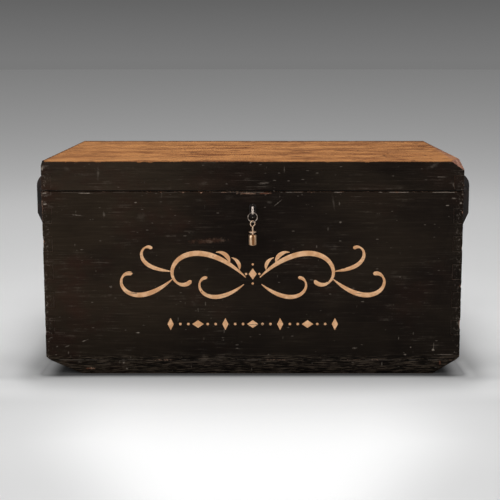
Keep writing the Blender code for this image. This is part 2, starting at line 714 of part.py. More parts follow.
def make_lock(bolt_axis, lid_axis):
    """The chest lock: its case and cap, the bolt, the lid's link plate and the escutcheon."""
    case = board(
        "lock_case",
        (-LOCK_WIDTH / 2, LOCK_FRONT, LOCK_FOOT),
        (LOCK_WIDTH / 2, CAP_FRONT - FIT, CARCASS_TOP),
        IRON,
    )
    room = BIT_REACH + BIT_ROOM
    inner = LOCK_INNER_HALF
    near, far = LOCK_FRONT + LOCK_WALL, CAP_FRONT + OVERRUN
    cut_box(case, (-room, near, LOCK_FOOT + LOCK_WALL), (room, far, LEDGE_TOP + OVERRUN))
    cut_box(case, (-inner, near, LEDGE_TOP), (inner, far, CARCASS_TOP - LOCK_WALL))
    keyhole_cut(case, LOCK_FRONT - OVERRUN, LOCK_FRONT + LOCK_WALL + OVERRUN)
    slot = Vector((STAPLE_THICK, STAPLE_WIDTH, 0)) / 2 + Vector((STAPLE_SLOT_CLEAR, STAPLE_SLOT_CLEAR, 0))
    for x in (-STAPLE_SPREAD / 2, STAPLE_SPREAD / 2):
        at = Vector((x, BOLT_Y, 0))
        cut_box(
            case,
            at - slot + Vector((0, 0, CARCASS_TOP - LOCK_WALL - OVERRUN)),
            at + slot + Vector((0, 0, CARCASS_TOP + OVERRUN)),
        )

    cap = board(
        "lock_cap", (-LOCK_WIDTH / 2, CAP_FRONT, LOCK_FOOT), (LOCK_WIDTH / 2, INNER_FRONT, CARCASS_TOP), IRON
    )
    bearing = rod_mesh("key_bearing", SHANK_RADIUS + FIT, LOCK_WALL + 2 * OVERRUN, 20)
    cut(cap, bearing, (0, CAP_FRONT + LOCK_WALL / 2, KEY_Z), ALONG_Y)

    bar_top = BOLT_FOOT + BOLT_BAR
    bar = board(
        "lock_bolt",
        (-BOLT_TAIL, LOCK_FRONT + LOCK_WALL + FIT, BOLT_FOOT),
        (BOLT_NOSE, CAP_FRONT - FIT, bar_top),
        STEEL,
        bolt_axis,
    )
    talon = -BOLT_THROW / 2
    cut_box(
        bar,
        (talon - TALON_HALF, LOCK_FRONT, BOLT_FOOT - OVERRUN),
        (talon + TALON_HALF, CAP_FRONT + OVERRUN, BOLT_FOOT + TALON_DEPTH),
    )
    fingers = []
    finger_foot = BOLT_FOOT + BOLT_FINGER_RISE
    finger_top = finger_foot + BOLT_FINGER_HEIGHT
    for x in (-STAPLE_SPREAD / 2, STAPLE_SPREAD / 2):
        tip = x - STAPLE_THICK / 2 - STAPLE_EYE_ROOM
        root = tip - BOLT_FINGER
        heel = root - BOLT_ARM
        fingers.append([
            (heel, bar_top - OVERRUN), (root, bar_top - OVERRUN), (root, finger_foot),
            (tip, finger_foot), (tip, finger_top), (heel, finger_top),
        ])
    cut(bar, outline_mesh("bolt_fingers", fingers, BOLT_FINGER_THICK), (0, BOLT_Y, 0), FRONT_PLANE, "UNION")

    link = board(
        "link_plate",
        (-LINK_LENGTH / 2, BOLT_Y - LINK_WIDTH / 2, LID_FOOT),
        (LINK_LENGTH / 2, BOLT_Y + LINK_WIDTH / 2, LID_FOOT + LINK_THICK),
        IRON,
        lid_axis,
    )
    eye_foot = finger_foot - STAPLE_EYE_ROOM
    eye_top = finger_top + STAPLE_EYE_ROOM
    foot = eye_foot - STAPLE_FOOT
    half, eye = STAPLE_WIDTH / 2, STAPLE_EYE / 2
    staple = [(-half, foot), (half, foot), (half, LID_FOOT + LINK_THICK / 2), (-half, LID_FOOT + LINK_THICK / 2)]
    opening = [(-eye, eye_foot), (eye, eye_foot), (eye, eye_top), (-eye, eye_top)]
    for x in (-STAPLE_SPREAD / 2, STAPLE_SPREAD / 2):
        mesh = outline_mesh("staple", [staple, opening], STAPLE_THICK)
        cut(link, mesh, (x, BOLT_Y, 0), SIDE_PLANE, "UNION")

    straight = ESCUTCHEON_ABOVE - ESCUTCHEON_HALF
    lower = ESCUTCHEON_HALF - ESCUTCHEON_BELOW
    rim = arc((0, straight), ESCUTCHEON_HALF, 0, 180, 12) + arc((0, lower), ESCUTCHEON_HALF, 180, 360, 12)
    mesh = outline_mesh("escutcheon", [rim, keyhole(KEYHOLE_CLEAR)], ESCUTCHEON_THICK)
    add("escutcheon", mesh, IRON, (0, FRONT - FIT - ESCUTCHEON_THICK / 2, KEY_Z), FRONT_PLANE)


def make_key(axis):
    """The key: a turned shank, a slotted bit and a bow whose plane is the bit's."""
    bow_middle = BOW_RADIUS - BOW_RIM
    start = HANG_Y + bow_middle
    tip = CAP_FRONT + SHANK_TIP
    collar = start + 2 * BOW_RIM
    profile = [
        (0, tip), (SHANK_RADIUS, tip), (SHANK_RADIUS, collar + SHANK_COLLAR_LENGTH),
        (SHANK_COLLAR_RADIUS, collar + SHANK_COLLAR_LENGTH * 2 / 3),
        (SHANK_COLLAR_RADIUS, collar + SHANK_COLLAR_LENGTH / 3),
        (SHANK_RADIUS, collar), (SHANK_RADIUS * 2 / 3, start - BOW_RIM / 3), (0, start - BOW_RIM / 3),
    ]
    key = turned("key", profile, STEEL, (0, 0, KEY_Z), ALONG_Y, 20, axis)
    bow = ring_mesh("bow", bow_middle, BOW_RIM, 32, 10, BOW_HALF_THICK / BOW_RIM)
    cut(key, bow, (0, HANG_Y, KEY_Z), SIDE_PLANE, "UNION")
    near = BOLT_Y - BIT_LENGTH / 2
    root, reach = -SHANK_RADIUS / 2, -BIT_REACH
    bit = [(near, root), (near, reach)]
    for place_share, depth_share in ((1 / 3, 1), (2 / 3, 3 / 4)):
        centre = near + BIT_LENGTH * place_share
        left, right = centre - BIT_WARD / 2, centre + BIT_WARD / 2
        slot = reach + BIT_WARD_DEPTH * depth_share
        bit += [(left, reach), (left, slot), (right, slot), (right, reach)]
    bit += [(near + BIT_LENGTH, reach), (near + BIT_LENGTH, root)]
    cut(key, outline_mesh("bit", [bit], BIT_THICK), (0, 0, KEY_Z), SIDE_PLANE, "UNION")


def make_fob(ring_axis, eye_axis, barrel_axis):
    """The ring on the key's bow, the fob's eye that hangs in it and the barrel that turns below."""
    ring = ring_mesh("key_ring", RING_RADIUS, RING_WIRE, 32, 8)
    add("key_ring", ring, STEEL, (0, HANG_Y, RING_Z), FRONT_PLANE, ring_axis)

    cap_foot = CAP_TOP - FOB_CAP_THICK
    head_foot = cap_foot - FOB_STUB_LENGTH
    head_top = head_foot + FOB_HEAD_THICK
    profile = [
        (0, NECK_TOP), (FOB_NECK_RADIUS, NECK_TOP), (FOB_NECK_RADIUS, CAP_TOP),
        (FOB_CAP_RADIUS * 0.6, CAP_TOP - FOB_CAP_THICK * 0.2), (FOB_CAP_RADIUS, CAP_TOP - FOB_CAP_THICK * 0.6),
        (FOB_CAP_RADIUS, cap_foot), (FOB_STUB_RADIUS, cap_foot), (FOB_STUB_RADIUS, head_top),
        (FOB_HEAD_RADIUS, head_top), (FOB_HEAD_RADIUS, head_foot), (0, head_foot),
    ]
    eye = turned("fob_eye", profile, STEEL, (0, HANG_Y, 0), None, 20, eye_axis)
    loop = ring_mesh("eye_loop", EYE_RADIUS, EYE_WIRE, 28, 8)
    turn = Matrix.Rotation(EYE_TURN, 3, "Z") @ FRONT_PLANE
    cut(eye, loop, (0, HANG_Y, EYE_Z), turn, "UNION")

    bore = FOB_STUB_RADIUS + BARREL_BORE_CLEAR
    chamber = FOB_HEAD_RADIUS + BARREL_BORE_CLEAR
    ceiling, floor = head_top + FIT, head_foot - BARREL_BORE_CLEAR
    foot = BARREL_TOP - BARREL_LENGTH
    profile = [
        (0, floor), (chamber, floor), (chamber, ceiling), (bore, ceiling),
        (bore, BARREL_TOP), (BARREL_RADIUS - BARREL_EDGE, BARREL_TOP),
        (BARREL_RADIUS, BARREL_TOP - BARREL_EDGE), (BARREL_RADIUS, foot + BARREL_EDGE),
        (BARREL_RADIUS - BARREL_EDGE, foot), (0, foot),
    ]
    turned("fob_barrel", profile, BRASS, (0, HANG_Y, 0), None, 28, barrel_axis)


def make_till(axis):
    """A dovetailed sliding till with two dividers, and the runners that carry it."""
    for name, face, inwards in (("till_front", TILL_FRONT, 1), ("till_back", TILL_BACK, -1)):
        inner = face + inwards * TILL_BOARD
        piece = board(
            name, (-TILL_HALF, min(face, inner), TILL_FOOT), (TILL_HALF, max(face, inner), TILL_TOP), PINE, axis
        )
        cut_tails(piece, TILL_HALF, face, inwards, TILL_BOARD, TILL_JOINT, TILL_TOP)
    for name, side in (("till_left", -1), ("till_right", 1)):
        x = side * (TILL_HALF - TILL_BOARD / 2)
        tail_board(name, x, TILL_FRONT, TILL_BACK, TILL_FOOT, TILL_TOP, TILL_BOARD, TILL_JOINT, PINE, axis)
    inner_half = TILL_HALF - TILL_BOARD - FIT
    near, far = TILL_FRONT + TILL_BOARD + FIT, TILL_BACK - TILL_BOARD - FIT
    board("till_bottom", (-inner_half, near, TILL_FOOT), (inner_half, far, TILL_FOOT + TILL_FLOOR), PINE, axis)
    foot = TILL_FOOT + TILL_FLOOR + FIT
    for i in range(TILL_DIVIDERS):
        x = -inner_half + 2 * inner_half * (i + 1) / (TILL_DIVIDERS + 1)
        board(
            f"till_divider_{i + 1}",
            (x - TILL_DIVIDER_THICK / 2, near, foot),
            (x + TILL_DIVIDER_THICK / 2, far, foot + TILL_DIVIDER_HEIGHT),
            PINE,
            axis,
        )

    top = TILL_FOOT - FIT
    for name, side in (("left", -1), ("right", 1)):
        ends = sorted((side * (INNER_HALF - FIT), side * (INNER_HALF - RUNNER_WIDTH)))
        board(
            f"till_runner_{name}",
            (ends[0], INNER_FRONT + FIT, top - RUNNER_HEIGHT),
            (ends[1], INNER_BACK - FIT, top),
            PINE,
        )


def main():
    """Build the whole chest."""
    lid_axis = axis_guide("lid_hinge_axis", (0, HINGE_Y, HINGE_Z))
    bolt_axis = axis_guide("bolt_slide_axis", (0, BOLT_Y, BOLT_FOOT))
    key_axis = axis_guide("key_turn_axis", (0, HANG_Y, KEY_Z))
    ring_axis = axis_guide("ring_flap_axis", (0, HANG_Y, RING_TOP))
    eye_axis = axis_guide("fob_sway_axis", (0, HANG_Y, RING_Z))
    barrel_axis = axis_guide("fob_spin_axis", (0, HANG_Y, BARREL_TOP))
    till_axis = axis_guide("till_slide_axis", (0, TILL_FRONT, TILL_FOOT))
    make_carcass()
    make_handles()
    make_lid(lid_axis)
    make_hinges(lid_axis)
    make_lock(bolt_axis, lid_axis)
    make_key(key_axis)
    make_fob(ring_axis, eye_axis, barrel_axis)
    make_till(till_axis)


if __name__ == "__main__":
    main()
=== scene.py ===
"""The looks of an old black painted pine tool chest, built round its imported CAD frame.

The chest stands closed: black paint worn to bare pine along its arrises, a waxed pine top,
and a key in its lock from which a ring and a brass fob hang. Every node of the CAD but the ring
gets a copy, with its arrises eased where that shows. The small things that the CAD leaves out are
surfaces worked out here with numpy: screws, pins, the split ring and a painted scroll. The nails of
the top are drawn in its material.
"""

from __future__ import annotations

import logging
import math
from dataclasses import dataclass
from enum import Enum
from itertools import product
from typing import Callable, Iterable, Sequence, Union

import bmesh
import bpy
import numpy as np
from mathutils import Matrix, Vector


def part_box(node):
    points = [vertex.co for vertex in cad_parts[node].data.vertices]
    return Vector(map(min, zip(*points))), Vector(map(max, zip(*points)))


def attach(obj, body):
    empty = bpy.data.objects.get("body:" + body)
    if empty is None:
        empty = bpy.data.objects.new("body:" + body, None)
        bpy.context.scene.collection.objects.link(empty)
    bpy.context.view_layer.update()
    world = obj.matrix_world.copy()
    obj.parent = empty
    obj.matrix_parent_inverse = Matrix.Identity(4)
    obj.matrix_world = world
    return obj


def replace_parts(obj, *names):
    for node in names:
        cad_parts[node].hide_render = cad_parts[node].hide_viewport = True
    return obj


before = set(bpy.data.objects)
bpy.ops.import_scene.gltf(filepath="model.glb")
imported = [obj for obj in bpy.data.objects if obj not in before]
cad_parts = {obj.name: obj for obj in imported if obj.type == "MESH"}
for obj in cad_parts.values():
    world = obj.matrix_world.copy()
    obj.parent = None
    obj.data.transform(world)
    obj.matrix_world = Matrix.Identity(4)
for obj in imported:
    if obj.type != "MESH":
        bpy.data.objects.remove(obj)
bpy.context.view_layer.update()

log = logging.getLogger("tool_chest")

MM = 0.001
WELD = 0.01 * MM  # points nearer than this are one
ARRIS = 0.9 * MM  # how far a thick board's arrises are eased
THIN_ARRIS = 0.7 * MM  # and a thin one's
TAIL_STEP = 2.5 * MM  # shorter edges are the steps inside a dovetail
FORWARD = Vector((0, -1, 0))
Colour = tuple[float, float, float, float]
Part = tuple[np.ndarray, list[list[int]]]


def tone(red: int, green: int, blue: int) -> Colour:
    """A colour as the eye reads it, from 0 to 255 a channel, made linear for the shader."""
    channels = [value / 255 for value in (red, green, blue)]
    linear = [c / 12.92 if c <= 0.04045 else ((c + 0.055) / 1.055) ** 2.4 for c in channels]
    return (linear[0], linear[1], linear[2], 1.0)


class Grain(Enum):
    """The way a board's grain runs."""

    LENGTHWAYS = 0
    DEPTHWAYS = 1
    UPRIGHT = 2


class Cover(Enum):
    """Which faces of a board carry the black paint."""

    OUTSIDE = "outer faces"
    BELOW_TOP = "outer faces, the top left bare"
    ALL = "every face but the sole"
    NONE = "no paint"


@dataclass(frozen=True)
class ChestPlan:
    """Where the chest's main faces lie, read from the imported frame."""

    half: float
    front: float
    back: float
    foot: float
    seam: float
    top: float
    board: float

    @property
    def middle(self) -> float:
        """The chest's middle from front to back."""
        return (self.front + self.back) / 2

    @property
    def half_depth(self) -> float:
        """Half the distance from the front face to the back face."""
        return (self.back - self.front) / 2

    @classmethod
    def from_frame(cls) -> "ChestPlan":
        """Reads the plan from the CAD boards' boxes."""
        front_low, front_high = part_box("front_board")
        back_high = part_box("back_board")[1]
        side_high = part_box("right_side")[1]
        return cls(
            half=side_high.x,
            front=front_low.y,
            back=back_high.y,
            foot=front_low.z,
            seam=(front_high.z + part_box("lid_front_rail")[0].z) / 2,
            top=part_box("lid_plank_1")[1].z,
            board=front_high.y - front_low.y,
        )


PLAN = ChestPlan.from_frame()


@dataclass(frozen=True)
class Dovetails:
    """A row of tails at a corner, as the CAD boards have it."""

    lowest: float
    pitch: float
    half: float
    lid_middle: float
    lid_half: float
    slope: float = 1 / 7


@dataclass(frozen=True)
class NailRow:
    """Nails through the top into the lid's frame, all the way round."""

    pitch: float = 120 * MM
    inset: float = 11 * MM
    head: float = 2.6 * MM
    rust: Colour = tone(52, 38, 30)


NAILS = NailRow()
TAILS = Dovetails(107.7 * MM, 64.2 * MM, 17 * MM, 438.7 * MM, 16 * MM)


def node_method(operation: str, swapped: bool = False) -> Callable[..., "Field"]:
    """A Field method that adds one Math node, with its two inputs swapped if asked."""

    def method(this: "Field", other: "Feed" = 0.0) -> "Field":
        """Adds the node and gives back its result."""
        first, second = (other, this) if swapped else (this, other)
        return this.graph.math(operation, first, second)

    return method


class Field:
    """A number that varies over a surface: a socket that sums can be written with."""

    __add__ = __radd__ = node_method("ADD")
    __mul__ = __rmul__ = node_method("MULTIPLY")
    __sub__ = node_method("SUBTRACT")
    __rsub__ = node_method("SUBTRACT", swapped=True)
    __truediv__ = node_method("DIVIDE")
    __abs__ = node_method("ABSOLUTE")
    least = node_method("MINIMUM")
    most = node_method("MAXIMUM")
    whole = node_method("FLOOR")
    part = node_method("FRACT")
    root = node_method("SQRT")

    def __init__(self, graph: "Graph", socket: bpy.types.NodeSocket) -> None:
        """Keeps the graph that the socket belongs to."""
        self.graph = graph
        self.socket = socket

    def rise(self, low: float, high: float) -> "Field":
        """0 up to low, 1 from high, and a smooth step between."""
        return self.graph.step(self, low, high, 0.0, 1.0)

    def fall(self, low: float, high: float) -> "Field":
        """1 up to low, 0 from high, and a smooth step between."""
        return self.graph.step(self, low, high, 1.0, 0.0)

    def beside(self, output: Union[int, str]) -> "Field":
        """Another output of the same node."""
        return Field(self.graph, self.socket.node.outputs[output])

    def over(self, *others: "Field") -> "Field":
        """The largest of this mask and the others."""
        result = self
        for other in others:
            result = result.most(other)
        return result


Feed = Union[float, Sequence[float], Field]


class Graph:
    """The node graph of one material or world. Every method adds nodes and gives back their result."""

    def __init__(self, name: str, world: bool = False) -> None:
        """Starts an empty material, or world, of that name."""
        self.holder = (bpy.data.worlds if world else bpy.data.materials).new(name)
        self.holder.use_nodes = True
        self.nodes = self.holder.node_tree.nodes
        self.links = self.holder.node_tree.links
        self.nodes.clear()
        self.output = self.nodes.new("ShaderNodeOutputWorld" if world else "ShaderNodeOutputMaterial")
        self.coordinates: Union[Field, None] = None

    def feed(self, socket: bpy.types.NodeSocket, value: Feed) -> None:
        """Links a field to a socket, or sets the socket to a number or colour."""
        if isinstance(value, Field):
            self.links.new(value.socket, socket)
        elif isinstance(value, (int, float)):
            socket.default_value = value
        else:
            socket.default_value = tuple(value)

    def add(self, kind: str, result: Union[int, str], inputs: dict, **settings: object) -> Field:
        """Adds a node.

        Args:
            kind: the node's type.
            result: the output to give back.
            inputs: what goes into each input, by its name or number.
            settings: the node's own options.

        Returns:
            The output as a field.
        """
        node = self.nodes.new(kind)
        for option, value in settings.items():
            setattr(node, option, value)
        for key, value in inputs.items():
            self.feed(node.inputs[key], value)
        return Field(self, node.outputs[result])

    def math(self, operation: str, first: Feed, second: Feed = 0.0) -> Field:
        """One Math node."""
        return self.add("ShaderNodeMath", 0, {0: first, 1: second}, operation=operation)

    def step(self, value: Feed, low: float, high: float, start: float, end: float) -> Field:
        """A smooth step from start, at low, to end, at high."""
        inputs = {0: value, 1: low, 2: high, 3: start, 4: end}
        return self.add("ShaderNodeMapRange", 0, inputs, interpolation_type="SMOOTHSTEP")

    def place(self) -> Field:
        """The surface point in the row frame, in metres."""
        if self.coordinates is None:
            self.coordinates = self.add("ShaderNodeTexCoord", "Object", {})
        return self.coordinates

    def axes(self) -> tuple[Field, Field, Field]:
        """The surface point's x, y and z."""
        x = self.add("ShaderNodeSeparateXYZ", 0, {0: self.place()})
        return x, x.beside(1), x.beside(2)

    def stretched(self, scale: Sequence[float], shift: float) -> Field:
        """The surface point times a scale for each axis, moved by shift."""
        inputs = {0: self.place(), 1: (shift, shift * 0.7, shift * 1.3), 3: scale}
        return self.add("ShaderNodeMapping", 0, inputs)

    def noise(self, scale: Sequence[float], detail: float, rough: float, seed: float) -> Field:
        """Cloudy noise from 0 to 1, with so many cells a metre along each axis."""
        inputs = {"Vector": self.stretched(scale, seed), "Scale": 1.0, "Detail": detail, "Roughness": rough}
        return self.add("ShaderNodeTexNoise", 0, inputs)

    def specks(self, scale: Sequence[float], share: float, size: float, seed: float) -> Field:
        """Small separate marks: in a share of Voronoi cells, 1 near the cell's own point.

        Args:
            scale: cells a metre along each axis; a mark is long where the scale is low.
            share: the share of the cells that hold a mark.
            size: the marks' largest radius, in cells.
            seed: shifts the pattern.

        Returns:
            The mask.
        """
        inputs = {"Vector": self.stretched(scale, seed), "Scale": 1.0}
        distance = self.add("ShaderNodeTexVoronoi", "Distance", inputs)
        chance = self.add("ShaderNodeSeparateColor", 0, {0: distance.beside("Color")})
        reach = (chance - (1 - share)) * (size / share)
        return (reach - distance).rise(0.0, size * 0.35)

    def blend(self, factor: Feed, first: Feed, second: Feed) -> Field:
        """A colour between two."""
        inputs = {0: factor, 6: first, 7: second}
        return self.add("ShaderNodeMix", 2, inputs, data_type="RGBA")

    def layers(self, colour: Feed, *coats: tuple[Feed, Feed]) -> Feed:
        """A colour with coats over it, each given by its mask and its own colour."""
        for mask, coat in coats:
            colour = self.blend(mask, colour, coat)
        return colour

    def bump(self, height: Field, depth: float) -> Field:
        """A normal that follows a height from 0 to 1, whose full depth is in metres."""
        return self.add("ShaderNodeBump", 0, {"Height": height, "Distance": depth, "Strength": 1.0})

    def finish(self, colour: Feed, rough: Feed, metal: Feed = 0.0, normal: Union[Field, None] = None,
               specular: float = 0.5) -> bpy.types.Material:
        """Joins everything to a Principled shader.

        Args:
            colour: the base colour.
            rough: the roughness.
            metal: 0 for wood and paint, 1 for bare metal.
            normal: the bumped normal, where there is one.
            specular: the specular level, the same all over.

        Returns:
            The finished material.
        """
        inputs = {
            "Base Color": colour, "Roughness": rough, "Metallic": metal, "Specular IOR Level": specular,
        }
        if normal is not None:
            inputs["Normal"] = normal
        self.feed(self.output.inputs[0], self.add("ShaderNodeBsdfPrincipled", 0, inputs))
        return self.holder


def along(run: Grain, fine: float, coarse: float) -> tuple[float, float, float]:
    """A noise scale that is low along the grain and high across it."""
    return tuple(coarse if axis == run.value else fine for axis in range(3))


@dataclass(frozen=True)
class Pine:
    """Bare pine: growth rings cut through by the board's faces, fibres, and dirt."""

    pale: Colour
    mid: Colour
    dark: Colour
    dirt: Colour
    streaks: float = 0.35
    ring_width: float = 5.5 * MM

    def colour(self, graph: Graph, run: Grain, pitch: float) -> tuple[Field, Field]:
        """The wood's colour and its ring height.

        The rings are circles round a pith line that runs along the grain below the board, so a flat
        face cuts them in long tongues. Each board of the given width has a pith line of its own.

        Args:
            graph: the graph to add to.
            run: the way the grain runs, lengthways or depthways.
            pitch: the boards' width, which is the step from one pith line to the next.

        Returns:
            The colour, and the late wood's share from 0 to 1.
        """
        x, y, z = graph.axes()
        wide, deep = (y, z) if run is Grain.LENGTHWAYS else (z, x)
        slot = ((wide + 10.0 * pitch - PLAN.front) / pitch).whole()
        chance = graph.add("ShaderNodeTexWhiteNoise", 0, {"W": slot}, noise_dimensions="1D")
        sway = graph.noise(along(run, 5.0, 1.1), 3.0, 0.5, 3.7) - 0.5
        lift = graph.noise(along(run, 1.5, 2.3), 2.0, 0.5, 8.1) - 0.5
        offset = wide + 10.0 * pitch - PLAN.front - (slot + 0.2 + 0.6 * chance) * pitch + sway * 0.045
        height = deep - (PLAN.top - 0.055) + lift * 0.085
        reach = (offset * offset + height * height).root()
        ripple = graph.noise(along(run, 60.0, 4.0), 2.0, 0.5, 1.3) - 0.5
        phase = (reach / self.ring_width + ripple * 0.5).part()
        late = phase.rise(0.35, 0.9) * phase.fall(0.93, 1.0)
        fibre = graph.noise(along(run, 620.0, 9.0), 3.0, 0.6, 5.1)
        cloud = graph.noise(along(run, 14.0, 3.0), 4.0, 0.55, 2.2)
        streak = graph.noise(along(run, 24.0, 5.5), 6.0, 0.7, 4.9)
        short = graph.noise(along(run, 36.0, 17.0), 5.0, 0.7, 6.1)
        lines = streak.rise(0.5, 0.64).most(short.rise(0.52, 0.62))
        clear = streak.fall(0.36, 0.48).most(short.fall(0.38, 0.46))
        stain = graph.specks(along(run, 30.0, 22.0), 0.22, 0.4, 7.3) * fibre.rise(0.3, 0.6)
        grime = graph.noise((5.2, 5.2, 5.2), 5.0, 0.65, 6.4).rise(0.55, 0.8)
        colour = graph.layers(
            graph.blend(cloud.rise(0.3, 0.72), self.mid, self.pale),
            (late * (0.35 + 0.45 * cloud), self.dark),
            (fibre.rise(0.52, 0.8) * 0.45, self.dark),
            (lines * self.streaks * 0.85, self.dark),
            (clear * self.streaks * 0.75, self.pale),
            ((grime * 0.5).most(stain * self.streaks), self.dirt),
        )
        return colour, late * 0.6 + fibre * 0.4


@dataclass(frozen=True)
class BlackPaint:
    """Thin black oil paint on pine, lighter brown at the left as painted light, and worn through along the
    arrises.
    """

    coat: Colour = tone(23, 17, 13)
    brown: Colour = tone(35, 28, 21)
    # lighter brown for the painted light at the left
    painted_left_light: Colour = tone(46, 37, 27)
    russet: Colour = tone(46, 27, 20)
    ridge: Colour = tone(92, 80, 68)
    crack: Colour = tone(5, 4, 3)
    # the pale grey of rubbed places, also used for painted highlights
    chalk_and_highlight: Colour = tone(138, 127, 116)
    primer: Colour = tone(100, 64, 48)
    bare: Colour = tone(160, 130, 110)
    split: Colour = tone(112, 74, 58)
    fresh: Colour = tone(176, 130, 110)


@dataclass(frozen=True)
class Mark:
    """A rubbed place on the chest's front, in some rows a painted highlight: middle, half sizes in mm,
    slope in degrees.
    """

    x: float
    z: float
    long: float
    wide: float
    slope: float
    strength: float

    def mask(self, x: Field, z: Field, ragged: Field) -> Field:
        """An ellipse, 1 less its distance in half sizes, whose rim a noise breaks up."""
        cos, sin = math.cos(math.radians(self.slope)), math.sin(math.radians(self.slope))
        right, up = x - self.x * MM, z - self.z * MM
        u = (right * cos + up * sin) * (1 / (self.long * MM))
        v = (up * cos - right * sin) * (1 / (self.wide * MM))
        inside = 1.0 - (u * u + v * v).root() + (ragged - 0.5) * 2.2
        return inside.rise(0.05, 0.85) * self.strength


# rubbed pale places; the rows at x near ±465, on the corner arrises, are painted highlights
CHALK_AND_HIGHLIGHT_MARKS = tuple(Mark(*row) for row in (
    (24, 438, 16, 3.6, 4, 0.3), (55, 392.5, 14, 1.3, 40, 0.5), (36, 395, 9, 4, 0, 0.14),
    (-343, 460, 3.5, 20, 0, 0.22), (-332, 368, 3, 9, 0, 0.3), (-248, 363, 15, 10, 20, 0.07),
    (-392, 366, 13, 1.6, -6, 0.75), (-261, 394.5, 4, 2, 0, 0.7), (-372, 415.5, 20, 1.2, 0, 0.9),
    (-445, 63, 5, 2, 30, 0.35), (-422, 64, 7, 2, 20, 0.3), (-382, 77, 10, 1.6, 20, 0.55),
    (-260, 95.7, 6, 1.8, 0, 0.8), (410, 56, 3.5, 3.5, 0, 0.9), (411, 66, 1.2, 9, 0, 0.5),
    (231, 60, 6, 3, 0, 0.5), (347, 44.5, 5, 2.5, 0, 0.7), (438, 44.6, 26, 0.9, 0, 0.7),
    (433, 388, 5, 1.5, 0, 0.8), (294, 23, 1.6, 6, 0, 0.6), (420, 452, 16, 1.4, 0, 0.5),
    (-412, 470, 6, 9, 60, 0.1), (70, 468, 2, 9, 0, 0.25), (400, 476, 20, 6, 25, 0.14),
    (-294, 25.4, 3, 3, 0, 0.8), (-287, 11.8, 3, 3, 0, 0.7), (359, 61.7, 2.5, 2.5, 0, 0.7),
    (180, 395, 3, 22, 8, 0.12), (196, 350, 4, 3, 0, 0.5), (-467, 471, 3, 9, 0, 0.9),
    (-467, 450, 2.5, 4, 0, 0.9), (-464, 415.5, 7, 1.8, 0, 0.8), (-463, 391, 6, 3.5, 0, 0.9),
    (467, 436, 1.5, 13, 0, 0.7), (464, 393, 3.5, 3, 0, 0.8), (446, 434, 3, 5, 0, 0.4),
    (449, 404, 9, 2.2, 0, 0.4),
))
BARE_MARKS = tuple(Mark(*row) for row in (
    (-12, 414.8, 27, 2.6, 0, 0.7), (27, 415.2, 20, 2.6, 0, 0.85), (-370, 12, 16, 3.2, 0, 0.9),
    (426, 26, 2.5, 7, 10, 0.7), (-98, 308, 54, 8, 4, 0.22),
))


@dataclass(frozen=True)
class Break:
    """A corner of the lid that has broken off along a slanting face.

    The face meets the front's top edge, the end's top edge and the corner's upright edge at these
    distances from the corner. side is 1 at the right end and -1 at the left.
    """

    side: float
    across: float
    back: float
    down: float

    def cut(self, work: bmesh.types.BMesh) -> None:
        """Cuts the corner off a board's mesh and closes it."""
        way = Vector((self.side / self.across, -1 / self.back, 1 / self.down)).normalized()
        start = Vector((self.side * (PLAN.half - self.across), PLAN.front, PLAN.top))
        parts = work.verts[:] + work.edges[:] + work.faces[:]
        made = bmesh.ops.bisect_plane(
            work, geom=parts, dist=WELD, plane_co=start, plane_no=way, clear_outer=True
        )
        rim = [part for part in made["geom_cut"] if isinstance(part, bmesh.types.BMEdge)]
        if rim:
            bmesh.ops.edgeloop_fill(work, edges=rim)


CHIP = Break(1.0, 28 * MM, 60 * MM, 19.5 * MM)
KNOCK = Break(-1.0, 8 * MM, 16 * MM, 11 * MM)

GOLDEN = Pine(tone(198, 138, 84), tone(169, 112, 66), tone(104, 60, 36), tone(60, 37, 25), streaks=0.8)
RAW = Pine(tone(206, 168, 118), tone(188, 146, 96), tone(146, 102, 60), tone(104, 76, 50))
PAINT = BlackPaint()


